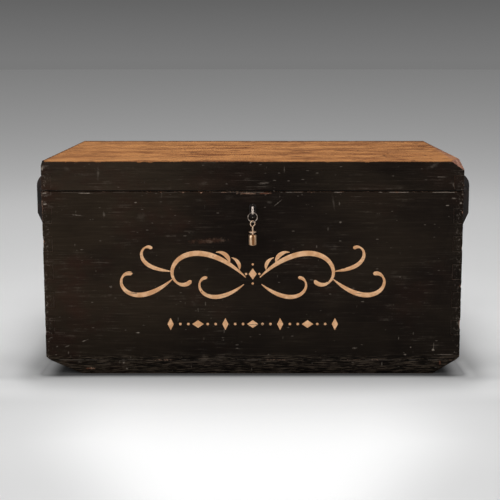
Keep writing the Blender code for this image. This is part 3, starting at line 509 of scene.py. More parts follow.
@dataclass(frozen=True)
class PaintedPine:
    """A board's finish: black paint where the cover says, and pine where it is bare or worn."""

    run: Grain
    cover: Cover
    pine: Pine = RAW
    pitch: float = 0.19
    film: float = 0.9 * MM

    def material(self, name: str) -> bpy.types.Material:
        """Builds the material.

        A point is painted where its depth behind the chest's outer faces is less than the film's,
        which varies, so the eased arrises come out bare in places. Wear eats in from every arris by a
        reach that noise sets, and specks, scratches and raised grain lie over the paint.

        Args:
            name: the material's name.

        Returns:
            The material.
        """
        graph = Graph(name)
        x, y, z = graph.axes()
        wood, ring = self.pine.colour(graph, self.run, self.pitch)
        if self.cover is Cover.NONE:
            rub = graph.noise(along(self.run, 45.0, 7.0), 4.0, 0.6, 9.0)
            height = ring * 0.7 + rub * 0.3
            return graph.finish(wood, 0.62 + 0.2 * rub, normal=graph.bump(height, 0.25 * MM), specular=0.3)
        in_x = PLAN.half - abs(x)
        in_y = PLAN.half_depth - abs(y - PLAN.middle)
        behind = in_x.least(in_y)
        over, edge = z - PLAN.seam, in_x.most(in_y)
        for gap in (over, z - PLAN.top, z - PLAN.foot):
            edge = edge.least(abs(gap))
        fine = graph.noise((190.0, 190.0, 190.0), 4.0, 0.7, 2.9)
        paint, height = self.paint(graph, fine, in_x, in_y)
        patchy = graph.noise((9.0, 9.0, 9.0), 5.0, 0.6, 0.4)
        if self.cover is Cover.ALL:
            painted = z.rise(0.2 * MM, 1.2 * MM)
            edge = edge.least(abs(z))
        else:
            low = z.fall(0.0405, 0.0445) * 0.012
            film = (0.1 + 1.6 * fine) * self.film + low
            film = film + over.rise(0.0, 0.1 * MM) * over.fall(4 * MM, 6 * MM) * 4 * MM
            painted = (film - behind).rise(0.0, 0.3 * MM)
        if self.cover is Cover.BELOW_TOP:
            painted = painted * (PLAN.top - 1.0 * MM + 1.6 * MM * (fine - 0.5) - z).rise(0.0, 0.5 * MM)
        reach = (patchy.rise(0.46, 0.72) * 3.0 + 0.25) * MM * fine.rise(0.36, 0.68)
        upper = over.rise(-0.2 * MM, 0.2 * MM) * over.fall(5 * MM, 6 * MM)
        worn = (reach - edge).rise(0.0, 0.5 * MM) * (1 - upper * 0.8)
        raw = graph.blend(fine.rise(0.38, 0.62), PAINT.primer, PAINT.bare)
        paint = graph.blend(worn * 0.5, paint, raw)
        aged = graph.blend(behind.rise(3 * MM, 8 * MM), raw, wood)
        if self.cover is Cover.BELOW_TOP:
            aged = self.rim(graph, wood, fine)
        colour = graph.blend(painted, aged, paint)
        if self.cover is Cover.BELOW_TOP:
            colour = self.chip(graph, colour, fine)
        height = ring * 0.25 * (1 - painted) + height - worn * 0.6
        rough = 0.55 + 0.2 * fine + worn * 0.1 + (1 - painted) * -0.05
        return graph.finish(colour, rough, normal=graph.bump(height, 0.35 * MM), specular=0.05)

    def paint(self, graph: Graph, fine: Field, in_x: Field, in_y: Field) -> tuple[Field, Field]:
        """The black paint with painted light and shade, raised grain, rubbed marks and the lines of the
        joints.

        Args:
            graph: the graph to add to.
            fine: fine noise.
            in_x: the depth behind the nearer end of the chest.
            in_y: the depth behind the front or back, whichever is nearer.

        Returns:
            The colour, and the height from 0 to about 1.
        """
        x, y, z = graph.axes()
        patchy = graph.noise((7.0, 7.0, 9.0), 5.0, 0.6, 1.4)
        blot = graph.noise(along(self.run, 70.0, 38.0), 6.0, 0.75, 6.6)
        cloud = graph.noise((4.0, 4.0, 7.0), 4.0, 0.55, 5.5)
        fibre = graph.noise(along(self.run, 430.0, 14.0), 4.0, 0.65, 1.9)
        band = graph.noise(along(self.run, 130.0, 10.0), 4.0, 0.65, 7.7)
        splinter = graph.noise(along(self.run, 520.0, 34.0), 5.0, 0.7, 3.3)
        patches = graph.noise((21.0, 21.0, 3.0), 4.0, 0.6, 8.8)
        low, left = z.fall(0.034, 0.050), x.fall(-0.46, 0.04)
        grain = band * 0.4 + fibre * 0.6
        crack = grain.fall(0.42, 0.50) * (0.15 + 0.45 * low)
        ridge = grain.rise(0.51, 0.60) * (0.05 + 0.35 * low * blot.rise(0.40, 0.54))
        over = z - PLAN.seam
        paint = graph.layers(
            graph.blend(cloud.rise(0.34, 0.66), PAINT.coat, PAINT.brown),
            # painted light: the paint turns lighter brown towards the left, where the light falls
            (left * cloud.rise(0.2, 0.6) * 0.75, PAINT.painted_left_light),
            # painted light on the lid's left, above the seam
            (left * z.rise(PLAN.seam, PLAN.seam + MM) * 0.09, PAINT.ridge),
            # reddish patches, laid on more thickly towards the left as part of the painted light
            (patchy.rise(0.50, 0.75) * (0.25 + 0.55 * left), PAINT.russet),
            # darker towards the bottom of the boards
            (z.fall(0.05, 0.17) * 0.4, PAINT.crack),
            (crack.most(splinter.fall(0.42, 0.49) * low * 0.9), PAINT.crack),
            (ridge.most(splinter.rise(0.53, 0.59) * low * 0.5), PAINT.ridge),
            # painted shade: a dark line just above the seam, where the gap between lid and box falls in
            # shade
            (over.rise(-0.8 * MM, 0.0) * over.fall(2.4 * MM, 3.4 * MM), PAINT.crack),
        )
        smear = (blot * 0.5 + fibre * 0.5).rise(0.54, 0.66) * patchy.rise(0.42, 0.60) * 0.15
        dash = graph.specks(along(self.run, 380.0, 95.0), 0.05, 0.46, 4.4) * fine.rise(0.42, 0.55)
        drip = graph.specks(along(Grain.UPRIGHT, 240.0, 60.0), 0.035, 0.4, 2.6) * fine.rise(0.45, 0.55)
        corner = in_x.most(in_y)
        fleck = (blot * 0.3 + fine * 0.7).rise(0.54, 0.62) * corner.fall(4 * MM, 22 * MM) * 0.42
        # pale patches just below the seam, more at the right: worn paint along the box's top arris, lit
        # pale as a painted highlight
        worn_seam_highlight = over.rise(-2.3 * MM, -1.7 * MM) * over.fall(-1.0 * MM, -0.4 * MM)
        worn_seam_highlight = worn_seam_highlight * patches.rise(0.51, 0.57) * (0.12 + 0.55 * x.rise(-0.1, 0.2))
        foot = abs(z - PLAN.foot).fall(0.4 * MM, 1.2 * MM) * (patches * 0.5 + blot * 0.5).rise(0.48, 0.56)
        joints = self.joint_lines(graph, in_x, in_y) * blot.rise(0.46, 0.62) * 0.26
        # rubbed pale marks, together with the painted highlights below the seam and on the corner arrises
        chalk_and_highlight = smear.over(dash * 0.42, drip * 0.3, fleck, worn_seam_highlight, foot * 0.4, joints)
        bare = 0.0
        if self.run is Grain.LENGTHWAYS:
            front = (y - PLAN.front).fall(2 * MM, 4 * MM)
            chalk_and_highlight = chalk_and_highlight.over(*(mark.mask(x, z, fine) * front for mark in CHALK_AND_HIGHLIGHT_MARKS))
            first, *others = [mark.mask(x, z, fine) for mark in BARE_MARKS]
            bare = first.over(*others) * front
            paint = graph.blend(bare, paint, graph.blend(blot.rise(0.46, 0.62), PAINT.primer, PAINT.bare))
        paint = graph.blend(chalk_and_highlight, paint, PAINT.chalk_and_highlight)
        height = grain * (0.6 + 2.6 * low) + fine * 0.25 - chalk_and_highlight * 0.4 - 0.4 * bare
        return paint, height

    def joint_lines(self, graph: Graph, in_x: Field, in_y: Field) -> Field:
        """Thin lines round the tails: on the front they are square, on the ends they flare.

        A height's distance from the middle of its tail, less the tail's half height there, and the
        distance past the joint's inner line make a bent line where the larger of them is zero.
        """
        _, _, z = graph.axes()
        turn = ((z - TAILS.lowest) * (1 / TAILS.pitch) + 0.5).part() - 0.5
        body = abs(turn) * TAILS.pitch - TAILS.half
        lid = abs(z - TAILS.lid_middle) - TAILS.lid_half
        over = (z - PLAN.seam).rise(-1 * MM, 1 * MM)
        apart = body * (1 - over) + lid * over
        on_front = in_y.fall(1 * MM, 2 * MM)
        flare = in_y.least(PLAN.board) * TAILS.slope * (1 - on_front)
        inward = in_x * on_front + in_y * (1 - on_front) - PLAN.board
        line = abs((apart + flare).most(inward)).fall(0.3 * MM, 1.0 * MM)
        return line * inward.fall(0.4 * MM, 1.2 * MM) * z.rise(0.06, 0.07)

    def rim(self, graph: Graph, wood: Field, fine: Field) -> Field:
        """The top's wood, darker along its outer edges and in two notches of the front one."""
        x, y, _ = graph.axes()
        near, far = y - PLAN.front, PLAN.back - y
        ragged = (fine - 0.5) * 8 * MM
        edges = [
            (far + ragged).fall(14 * MM, 30 * MM) * 0.85,
            (x + PLAN.half + ragged).fall(3 * MM, 9 * MM) * 0.8,
            (PLAN.half - x + ragged).fall(3 * MM, 9 * MM) * y.rise(-0.12, 0.0) * 0.7,
        ]
        notches = [
            (((x - place) * (x - place) + near * near * 0.3).root() + ragged).fall(4 * MM, 8 * MM) * 0.8
            for place in (-153 * MM, -35 * MM)
        ]
        fleck = graph.specks((26.0, 36.0, 26.0), 0.09, 0.42, 5.7) * fine.rise(0.40, 0.55) * 0.75
        dots = graph.specks((62.0, 34.0, 26.0), 0.13, 0.4, 2.9) * x.rise(0.16, 0.3) * 0.85
        dark = ((near + ragged).fall(1 * MM, 6 * MM) * 0.55).over(*edges, *notches, fleck, dots)
        along_x = ((x * (1 / NAILS.pitch) + 0.5).part() - 0.5) * NAILS.pitch
        along_y = (((y - PLAN.middle) * (1 / NAILS.pitch) + 0.5).part() - 0.5) * NAILS.pitch
        in_y = near.least(far) - NAILS.inset
        in_x = PLAN.half - abs(x) - NAILS.inset
        row_x = (along_x * along_x + in_y * in_y).root()
        row_y = (along_y * along_y + in_x * in_x).root()
        away = row_x.least(row_y)
        return graph.layers(
            wood,
            (away.fall(NAILS.head, NAILS.head + 9 * MM) * 0.35, self.pine.dirt),
            (away.fall(NAILS.head - 0.4 * MM, NAILS.head), NAILS.rust),
            # painted light: the top paler towards its left end
            ((x + 0.2).fall(-0.25, 0.1) * 0.22, self.pine.pale),
            (dark, self.pine.dirt),
        )

    def chip(self, graph: Graph, colour: Field, fine: Field) -> Field:
        """The broken front corners of the top, and its rubbed right end."""
        x, y, z = graph.axes()
        near, down = y - PLAN.front, PLAN.top - z
        grain = graph.noise(along(self.run, 260.0, 40.0), 4.0, 0.65, 6.1)
        raw = graph.blend(grain.rise(0.42, 0.62), PAINT.split, PAINT.fresh)
        for broken, wood in ((CHIP, raw), (KNOCK, PAINT.brown)):
            away = PLAN.half - x * broken.side
            share = away * (1 / broken.across) + near * (1 / broken.back) + down * (1 / broken.down)
            colour = graph.blend((share + (fine - 0.5) * 0.3).fall(1.02, 1.1), colour, wood)
        end = PLAN.half - x
        strip = (end * (1 / 0.026) + near * (1 / 0.6) + (fine - 0.5) * 0.6).fall(0.7, 1.05)
        return graph.blend(strip * down.fall(1.5 * MM, 2.5 * MM) * 0.6, colour, raw)


@dataclass(frozen=True)
class Metal:
    """Worked metal with tarnish in cloudy patches and fine rubbing marks."""

    bright: Colour
    dull: Colour
    rough: float
    tarnish: float
    pitted: float = 0.0
    metallic: float = 1.0
    band: float = 0.0
    band_foot: float = 0.0
    grime: float = 0.0

    def material(self, name: str) -> bpy.types.Material:
        """Builds the material: the dull colour spreads with the noise, and is rougher.

        band is the half width of a dull stripe down the front, a painted reflection, ending at band_foot,
        and grime how far in front of the chest's face the metal is painted black as painted shade.
        """
        graph = Graph(name)
        cloud = graph.noise((180.0, 180.0, 180.0), 4.0, 0.6, 1.1)
        rub = graph.noise((900.0, 900.0, 200.0), 2.0, 0.5, 2.7)
        stain = cloud.rise(0.62 - self.tarnish * 0.4, 0.9 - self.tarnish * 0.4)
        # painted reflection: a dull brown stripe down the barrel's front, joined to the tarnish
        if self.band > 0:
            x, _, z = graph.axes()
            stripe = abs(x - self.band * 0.3).fall(self.band * 0.4, self.band * 1.1)
            stain = stain.most(stripe * z.rise(self.band_foot, self.band_foot + 0.6 * MM))
        colour = graph.blend(stain, self.bright, self.dull)
        # painted shade: the metal nearest the chest's face is painted black, where the key goes into the
        # lock
        if self.grime > 0:
            _, y, _ = graph.axes()
            painted_shade_near_face = y.rise(PLAN.front - self.grime, PLAN.front - self.grime + 1.5 * MM)
            colour = graph.blend(painted_shade_near_face * y.fall(PLAN.front, PLAN.front + 4 * MM), colour, PAINT.coat)
        rough = self.rough + 0.22 * stain + 0.08 * rub
        height = rub * 0.25 + cloud * self.pitted
        return graph.finish(colour, rough, self.metallic, graph.bump(height, 0.08 * MM))


IRON = Metal(tone(112, 104, 96), tone(66, 50, 40), 0.42, 0.75, pitted=0.9, metallic=0.8)
STEEL = Metal(tone(222, 206, 194), tone(128, 110, 98), 0.3, 0.3, metallic=0.6)
# the key is painted black within 10 mm of the chest's face, as painted shade by the lock
KEY_STEEL = Metal(tone(222, 206, 194), tone(128, 110, 98), 0.3, 0.3, metallic=0.6, grime=10 * MM)
WORN_STEEL = Metal(tone(196, 180, 166), tone(74, 61, 52), 0.34, 0.6, metallic=0.7)
TINTED_STEEL = Metal(tone(240, 207, 176), tone(140, 94, 66), 0.3, 0.42, metallic=0.75)
BLACKENED = Metal(tone(44, 38, 34), tone(26, 21, 18), 0.5, 0.75, pitted=0.9, metallic=0.6)
# the barrel's brass with a painted reflection: a dull brown stripe down its front
BRASS = Metal(
    tone(230, 196, 160), tone(136, 92, 56), 0.26, 0.25, metallic=0.9, band=4.6 * MM,
    band_foot=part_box("fob_barrel")[0].z + 0.6 * MM,
)


@dataclass(frozen=True)
class HandleWood:
    """Dark stained hardwood, rubbed pale where hands and floors have met it."""

    stain: Colour = tone(21, 18, 17)
    warm: Colour = tone(42, 30, 26)
    rubbed: Colour = tone(122, 98, 88)

    def material(self, name: str, run: Grain, rub_height: float) -> bpy.types.Material:
        """Builds the material; wear gathers above rub_height and by noise elsewhere."""
        graph = Graph(name)
        _, _, z = graph.axes()
        fibre = graph.noise(along(run, 420.0, 22.0), 4.0, 0.65, 3.1)
        cloud = graph.noise((34.0, 34.0, 34.0), 5.0, 0.65, 6.2)
        colour = graph.blend(cloud.rise(0.35, 0.7), self.stain, self.warm)
        colour = graph.blend(fibre.rise(0.5, 0.8) * 0.6, colour, self.stain)
        top = z.rise(rub_height, rub_height + 0.04) * cloud.rise(0.36, 0.62)
        nick = graph.specks((120.0, 120.0, 60.0), 0.14, 0.4, 1.7) * fibre.rise(0.42, 0.55)
        colour = graph.blend((top * 0.28).most(nick * 0.4), colour, self.rubbed)
        height = fibre * 0.6 + cloud * 0.4
        return graph.finish(colour, 0.5 + 0.2 * cloud, normal=graph.bump(height, 0.25 * MM), specular=0.3)


@dataclass(frozen=True)
class CreamPaint:
    """The sign painter's cream, rubbed through to the black in places."""

    cream: Colour = tone(238, 190, 146)
    shade: Colour = tone(210, 156, 110)
    under: Colour = tone(46, 36, 30)

    def material(self, name: str) -> bpy.types.Material:
        """Builds the material: fine streaks along the grain show the black beneath."""
        graph = Graph(name)
        streak = graph.noise(along(Grain.LENGTHWAYS, 420.0, 14.0), 3.0, 0.65, 2.4)
        patch = graph.noise((60.0, 60.0, 60.0), 4.0, 0.6, 5.3)
        colour = graph.blend(patch.rise(0.35, 0.7), self.shade, self.cream)
        bald = (streak * 0.6 + patch * 0.4).rise(0.58, 0.66)
        nick = graph.specks((190.0, 190.0, 120.0), 0.14, 0.34, 3.9)
        colour = graph.blend(bald.most(nick) * 0.8, colour, self.under)
        return graph.finish(colour, 0.6, normal=graph.bump(streak, 0.1 * MM), specular=0.3)


def lumps(places: np.ndarray, size: float, seed: int) -> np.ndarray:
    """Smooth noise from -1 to 1: random numbers at the corners of a lattice, eased in between.

    Args:
        places: points, one a row.
        size: the lattice's step, in metres.
        seed: picks the random numbers.

    Returns:
        One value for each point.
    """
    cells = places / size
    base = np.floor(cells).astype(np.int64)
    ease = cells - base
    ease = ease * ease * (3 - 2 * ease)
    total = np.zeros(len(places))
    for corner in product((0, 1), repeat=3):
        index = base + np.array(corner)
        code = (index * np.array([73856093, 19349663, 83492791])).sum(axis=1) + seed * 668265263
        code = (code ^ (code >> 13)) * 1274126177
        value = ((code ^ (code >> 16)) & 0xFFFF) / 32767.5 - 1
        total += value * np.prod(np.where(np.array(corner), ease, 1 - ease), axis=1)
    return total


def linked(name: str, data: bpy.types.ID, smooth: float = 0.0) -> bpy.types.Object:
    """Puts a mesh, lamp or camera in the scene; a mesh stays sharp above an angle in degrees."""
    if smooth > 0:
        data.shade_smooth()
        data.set_sharp_from_angle(angle=math.radians(smooth))
    piece = bpy.data.objects.new(name, data)
    bpy.context.scene.collection.objects.link(piece)
    return piece


def mesh_object(
    name: str, points: np.ndarray, faces: Iterable[Sequence[int]], smooth: float = 40,
) -> bpy.types.Object:
    """Makes an object from points and faces, smooth but for edges sharper than an angle in degrees."""
    mesh = bpy.data.meshes.new(name)
    mesh.from_pydata(np.asarray(points, float).tolist(), [], [list(face) for face in faces])
    work = bmesh.new()
    work.from_mesh(mesh)
    if all(edge.is_manifold for edge in work.edges):
        bmesh.ops.recalc_face_normals(work, faces=work.faces)
    work.to_mesh(mesh)
    work.free()
    return linked(name, mesh, smooth)


def grid_faces(rings: int, around: int) -> list[list[int]]:
    """The quads between rings of so many points each, and a face that closes each end."""
    ring = np.arange(rings - 1)[:, None] * around
    place = np.arange(around)[None, :]
    side, after = (place + 1) % around, ring + around
    quads = np.stack([ring + place, ring + side, after + side, after + place], axis=-1)
    last = (rings - 1) * around
    return quads.reshape(-1, 4).tolist() + [list(range(around))[::-1], list(range(last, last + around))]


def tube(path: np.ndarray, radius: float, around: int, tall: float) -> Part:
    """A wire along an open path.

    Each ring is the path's point plus radius times (cosine of a side vector, times tall, plus sine of
    the vector square to it and to the path).

    Args:
        path: the points of the wire's middle.
        radius: half the wire's width.
        around: points in each ring.
        tall: the wire's height away from the path's middle, as a share of its width.

    Returns:
        The points and the faces.
    """
    ahead = np.roll(path, -1, axis=0) - np.roll(path, 1, axis=0)
    ahead[0], ahead[-1] = path[1] - path[0], path[-1] - path[-2]
    ahead /= np.linalg.norm(ahead, axis=1, keepdims=True)
    side = path - path.mean(axis=0)
    side -= (side * ahead).sum(axis=1, keepdims=True) * ahead
    side /= np.linalg.norm(side, axis=1, keepdims=True)
    other = np.cross(ahead, side)
    turn = np.linspace(0, 2 * np.pi, around, endpoint=False)[None, :, None]
    rings = path[:, None] + radius * (np.cos(turn) * tall * side[:, None] + np.sin(turn) * other[:, None])
    return rings.reshape(-1, 3), grid_faces(len(path), around)


def tablet(outline: np.ndarray, at: Vector, way: Vector, proud: float, sunk: float = 0.1 * MM) -> Part:
    """A thin plate of a given outline on a flat face, its outer side a little smaller.

    Args:
        outline: the rim's points as (right, up), one a row.
        at: the outline's origin on the face.
        way: the way the face looks, square to X.
        proud: how far the plate stands out of the face.
        sunk: how far it goes in.

    Returns:
        The points and the faces.
    """
    right = Vector((1, 0, 0))
    up = way.cross(right)
    flat = outline @ np.array([right, up])
    steps = ((1.0, -sunk), (1.0, proud * 0.5), (0.9, proud))
    layers = [flat * share + np.array(way) * out for share, out in steps]
    return np.concatenate(layers) + np.array(at), grid_faces(3, len(outline))


def disc(radius: float, around: int = 14) -> np.ndarray:
    """The outline of a round plate."""
    turn = np.linspace(0, 2 * np.pi, around, endpoint=False)
    return np.stack([np.cos(turn), np.sin(turn)], axis=1) * radius


def half_disc(radius: float, slot: float, turn: float) -> np.ndarray:
    """The outline of one half of a screw's head, beside a slot of half the given width, turned."""
    first = math.asin(slot / 2 / radius)
    angle = np.linspace(first, np.pi - first, 9)
    points = np.stack([np.cos(angle), np.sin(angle)], axis=1) * radius
    cos, sin = math.cos(turn), math.sin(turn)
    return points @ np.array([[cos, sin], [-sin, cos]])


def joined(parts: Sequence[Part]) -> Part:
    """Several parts as one list of points and one of faces."""
    starts = np.cumsum([0] + [len(points) for points, _ in parts])
    faces = [
        [index + int(start) for index in face] for start, (_, some) in zip(starts, parts) for face in some
    ]
    return np.concatenate([points for points, _ in parts]), faces


def screw(at: Vector, way: Vector, turn: float, radius: float = 3.3 * MM) -> Part:
    """A countersunk screw's head, filed nearly flush: a disc and two halves that leave a slot."""
    halves = [
        tablet(half_disc(radius * 0.94, 0.9 * MM, turn + side * math.pi), at, way, 0.28 * MM)
        for side in (0, 1)
    ]
    return joined([tablet(disc(radius), at, way, 0.08 * MM), *halves])


@dataclass(frozen=True)
class Curl:
    """A brush stroke on the front: where it starts, its heading in degrees, its length and its widths.

    Its bend, in radians over the whole length, runs from first to last as a power of the way along.
    """

    x: float
    z: float
    heading: float
    length: float
    first: float
    last: float
    power: float
    width: float
    bulb: float = 0.0

    def part(self, side: int, samples: int = 56) -> Part:
        """The stroke as a thin closed ribbon, at the right for side 1 and mirrored for side -1.

        The path is the running sum of (cosine, sine) of the heading. Each ring is a flat hexagon across
        the path, whose width swells as a sine and ends in a round bulb.
        """
        share = np.linspace(0, 1, samples)
        bend = self.first + (self.last - self.first) * share**self.power
        step = np.diff(share)
        angle = math.radians(self.heading) + np.append(0, np.cumsum((bend[1:] + bend[:-1]) / 2 * step))
        middle = (angle[1:] + angle[:-1]) / 2
        path = np.cumsum(np.stack([np.cos(middle), np.sin(middle)], axis=1) * step[:, None], axis=0)
        path = np.array([self.x, self.z]) + np.concatenate([np.zeros((1, 2)), path]) * self.length
        width = self.width * (0.14 + 0.86 * np.sin(np.pi * share**0.8) ** 1.1)
        width = np.maximum(width, self.bulb * np.sqrt(np.clip((share - 0.84) / 0.1, 0, 1)))
        width[-1] *= 0.4
        across = np.stack([-np.sin(angle), np.cos(angle)], axis=1) * width[:, None] / 2
        ring = ((-1.0, 0.02), (-0.85, -0.25), (0.85, -0.25), (1.0, 0.02), (0.85, 0.1), (-0.85, 0.1))
        rings = [np.insert(path + across * reach, 1, depth, axis=1) for reach, depth in ring]
        points = np.stack(rings, axis=1).reshape(-1, 3) * np.array([side, 1, 1]) * MM
        return points + np.array([0, PLAN.front, 0]), grid_faces(samples, len(ring))


CURLS = tuple(Curl(*row) for row in (
    (16, 224, 46, 268, -1.2, -15.0, 2.6, 12.0, 9.5), (181, 220, -42, 178, 0.9, 12.8, 2.4, 11.0, 9.0),
    (184, 238, 6, 118, 0.5, 11.5, 2.2, 9.0, 7.5), (20, 208, -40, 150, 0.9, 11.5, 2.4, 9.5, 7.5),
    (52, 258, 86, 44, -1.7, -1.7, 1, 9.5), (30, 242, 100, 36, -1.5, -1.5, 1, 8.0),
))


@dataclass(frozen=True)
class Knocks:
    """Dents along the chest's outer arrises, the same in every board that meets there.

    Each face of the chest gives a point its gap to that face. The second smallest gap is the distance to
    an arris, from which the dents die away.
    """

    reach: float = 6 * MM
    step: float = 5 * MM
    depth: float = 2.2 * MM

    def gaps(self, places: np.ndarray) -> tuple[np.ndarray, np.ndarray]:
        """Each point's gaps to the nearest end, front or back, and level, and the way in from each."""
        x, y, z = places.T
        levels = np.array([PLAN.foot, PLAN.seam, PLAN.top])
        near = np.abs(z[:, None] - levels).argmin(axis=1)
        rise = z - levels[near]
        ways = np.stack([-np.sign(x), -np.sign(y - PLAN.middle), np.where(near == 2, -1.0, 1.0)], axis=1)
        ways[near == 1, 2] = np.sign(rise)[near == 1]
        in_y = PLAN.half_depth - np.abs(y - PLAN.middle)
        return np.stack([PLAN.half - np.abs(x), in_y, np.abs(rise)], axis=1), ways

    def cut(self, work: bmesh.types.BMesh) -> None:
        """Cuts lines along each arris, and then across the strips between them."""
        lines = [
            (0, -PLAN.half + self.reach), (0, PLAN.half - self.reach), (1, PLAN.front + self.reach),
            (1, PLAN.back - self.reach), (2, PLAN.foot + self.reach), (2, PLAN.seam - self.reach),
            (2, PLAN.seam + self.reach), (2, PLAN.top - self.reach),
        ]
        for axis, place in lines:
            self.slice(work, work.verts[:] + work.edges[:] + work.faces[:], axis, place)
        for axis in range(3):
            faces = [face for face in work.faces if self.beside_arris(face, axis)]
            spread = [vert.co[axis] for face in faces for vert in face.verts]
            if not spread:
                continue
            parts = list({part for face in faces for part in (*face.verts, *face.edges)}) + faces
            for place in np.arange(min(spread) + self.step, max(spread) - self.step / 2, self.step):
                parts = self.slice(work, parts, axis, float(place))

    def slice(self, work: bmesh.types.BMesh, parts: list, axis: int, place: float) -> list:
        """Cuts the named parts of a mesh by a plane square to an axis, and gives back what they became."""
        way = Vector((0, 0, 0))
        way[axis] = 1
        made = bmesh.ops.bisect_plane(work, geom=parts, dist=WELD, plane_co=way * place, plane_no=way)
        return made["geom"]

    def beside_arris(self, face: bmesh.types.BMFace, axis: int) -> bool:
        """Whether a face lies in a strip beside an arris that runs along the axis."""
        spread = [vert.co[axis] for vert in face.verts]
        if max(spread) - min(spread) < 2 * self.step:
            return False
        gaps = self.gaps(np.array([tuple(vert.co) for vert in face.verts]))[0]
        across = np.delete(gaps, axis, axis=1)
        return bool((across < self.reach * 1.01).all())

    def dent(self, work: bmesh.types.BMesh) -> None:
        """Moves each point in from the faces it is near by the depth, noise and nearness to an arris."""
        places = np.array([tuple(vert.co) for vert in work.verts])
        gaps, ways = self.gaps(places)
        away = np.sort(gaps, axis=1)[:, 1]
        noise = 0.55 * lumps(places, 17 * MM, 3) + 0.45 * lumps(places, 6 * MM, 8)
        amount = self.depth * np.clip(noise - 0.12, 0, 1) * np.clip(1 - away / self.reach, 0, 1)
        moved = places + amount[:, None] * ways * (gaps < self.reach)
        for vert, place in zip(work.verts, moved.tolist()):
            vert.co = place


def eased_copy(
    node: str, width: float, smooth: float = 35, shortest: float = 0.0, tight: float = -1.0,
    knocks: Union[Knocks, None] = None, breaks: Sequence[Break] = (),
) -> bpy.types.Object:
    """A copy of a CAD node with its arrises rounded.

    The copy's loose triangles are joined and its flat faces made whole first.

    Args:
        node: the CAD node, whose name the new piece has with _eased after it.
        width: how far each arris is cut back; 0 leaves them.
        smooth: the angle in degrees above which an edge stays sharp in the shading.
        shortest: edges shorter than this stay as they are.
        tight: level edges at this height stay as they are, where paint bridges a joint.
        knocks: dents along the chest's outer arrises, if the board has any.
        breaks: corners that have broken off.

    Returns:
        The new piece.
    """
    work = bmesh.new()
    work.from_mesh(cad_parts[node].data)
    bmesh.ops.remove_doubles(work, verts=work.verts, dist=WELD)
    bmesh.ops.dissolve_limit(work, angle_limit=math.radians(0.6), verts=work.verts, edges=work.edges)
    for broken in breaks:
        broken.cut(work)
    if width > 0:
        sharp = [
            edge for edge in work.edges
            if len(edge.link_faces) == 2 and edge.calc_face_angle() > math.radians(28)
            and edge.calc_length() > shortest
            and max(abs(vert.co.z - tight) for vert in edge.verts) > 0.5 * MM
        ]
        bmesh.ops.bevel(
            work, geom=sharp, offset=width, offset_type="OFFSET", segments=2, profile=0.5,
            affect="EDGES", clamp_overlap=True,
        )
    if knocks is not None:
        knocks.cut(work)
        knocks.dent(work)
    mesh = bpy.data.meshes.new(f"{node}_eased")
    work.to_mesh(mesh)
    work.free()
    piece = linked(f"{node}_eased", mesh, smooth)
    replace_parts(piece, node)
    return piece


class Assembly:
    """A sub-assembly: its pieces are named, dressed, set on a body and logged here."""

    body = "chest"

    def settle(
        self, piece: bpy.types.Object, material: bpy.types.Material, slot: str, body: str = "",
    ) -> None:
        """Gives a piece its material, and sets it on its body.

        Args:
            piece: the piece, in place.
            material: its only material.
            slot: a finish slot's name; not used.
            body: the CAD body, or else the assembly's own.
        """
        piece.data.materials.clear()
        piece.data.materials.append(material)
        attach(piece, body or self.body)
        log.info("%s: %d faces on %s", piece.name, len(piece.data.polygons), body or self.body)

    def ease(
        self, nodes: str, material: bpy.types.Material, slot: str, width: float, body: str = "",
        **options: object,
    ) -> None:
        """Replaces each CAD node of a row of names by its eased copy, and settles that.

        Args:
            nodes: the nodes' names, parted by spaces.
            material: the material of every copy.
            slot: a finish slot's name, passed on to settle.
            width: how far each arris is cut back.
            body: the CAD body, or else the assembly's own.
            options: the rest of what eased_copy takes.
        """
        for node in nodes.split():
            self.settle(eased_copy(node, width, **options), material, slot, body)


class Carcass(Assembly):
    """The box: four dovetailed boards, the bottom planks, two skids and the till's runners."""

    def build(self) -> None:
        """Builds and dresses the box's pieces."""
        front = PaintedPine(Grain.LENGTHWAYS, Cover.OUTSIDE).material("black_paint_lengthways")
        ends = PaintedPine(Grain.DEPTHWAYS, Cover.OUTSIDE).material("black_paint_depthways")
        skid = PaintedPine(Grain.LENGTHWAYS, Cover.ALL).material("black_paint_skids")
        bare = PaintedPine(Grain.DEPTHWAYS, Cover.NONE, pitch=0.1).material("bare_pine_depthways")
        for nodes, paint in (("front_board back_board", front), ("left_side right_side", ends)):
            self.ease(nodes, paint, "paint", ARRIS, shortest=TAIL_STEP, knocks=Knocks())
        self.ease("front_skid rear_skid", skid, "paint", 1.6 * MM)
        raw = PaintedPine(Grain.LENGTHWAYS, Cover.NONE, pitch=0.1).material("bare_pine_lengthways")
        self.ease(" ".join(f"bottom_plank_{number}" for number in range(1, 6)), raw, "pine", ARRIS)
        self.ease("till_runner_left till_runner_right", bare, "pine", ARRIS)


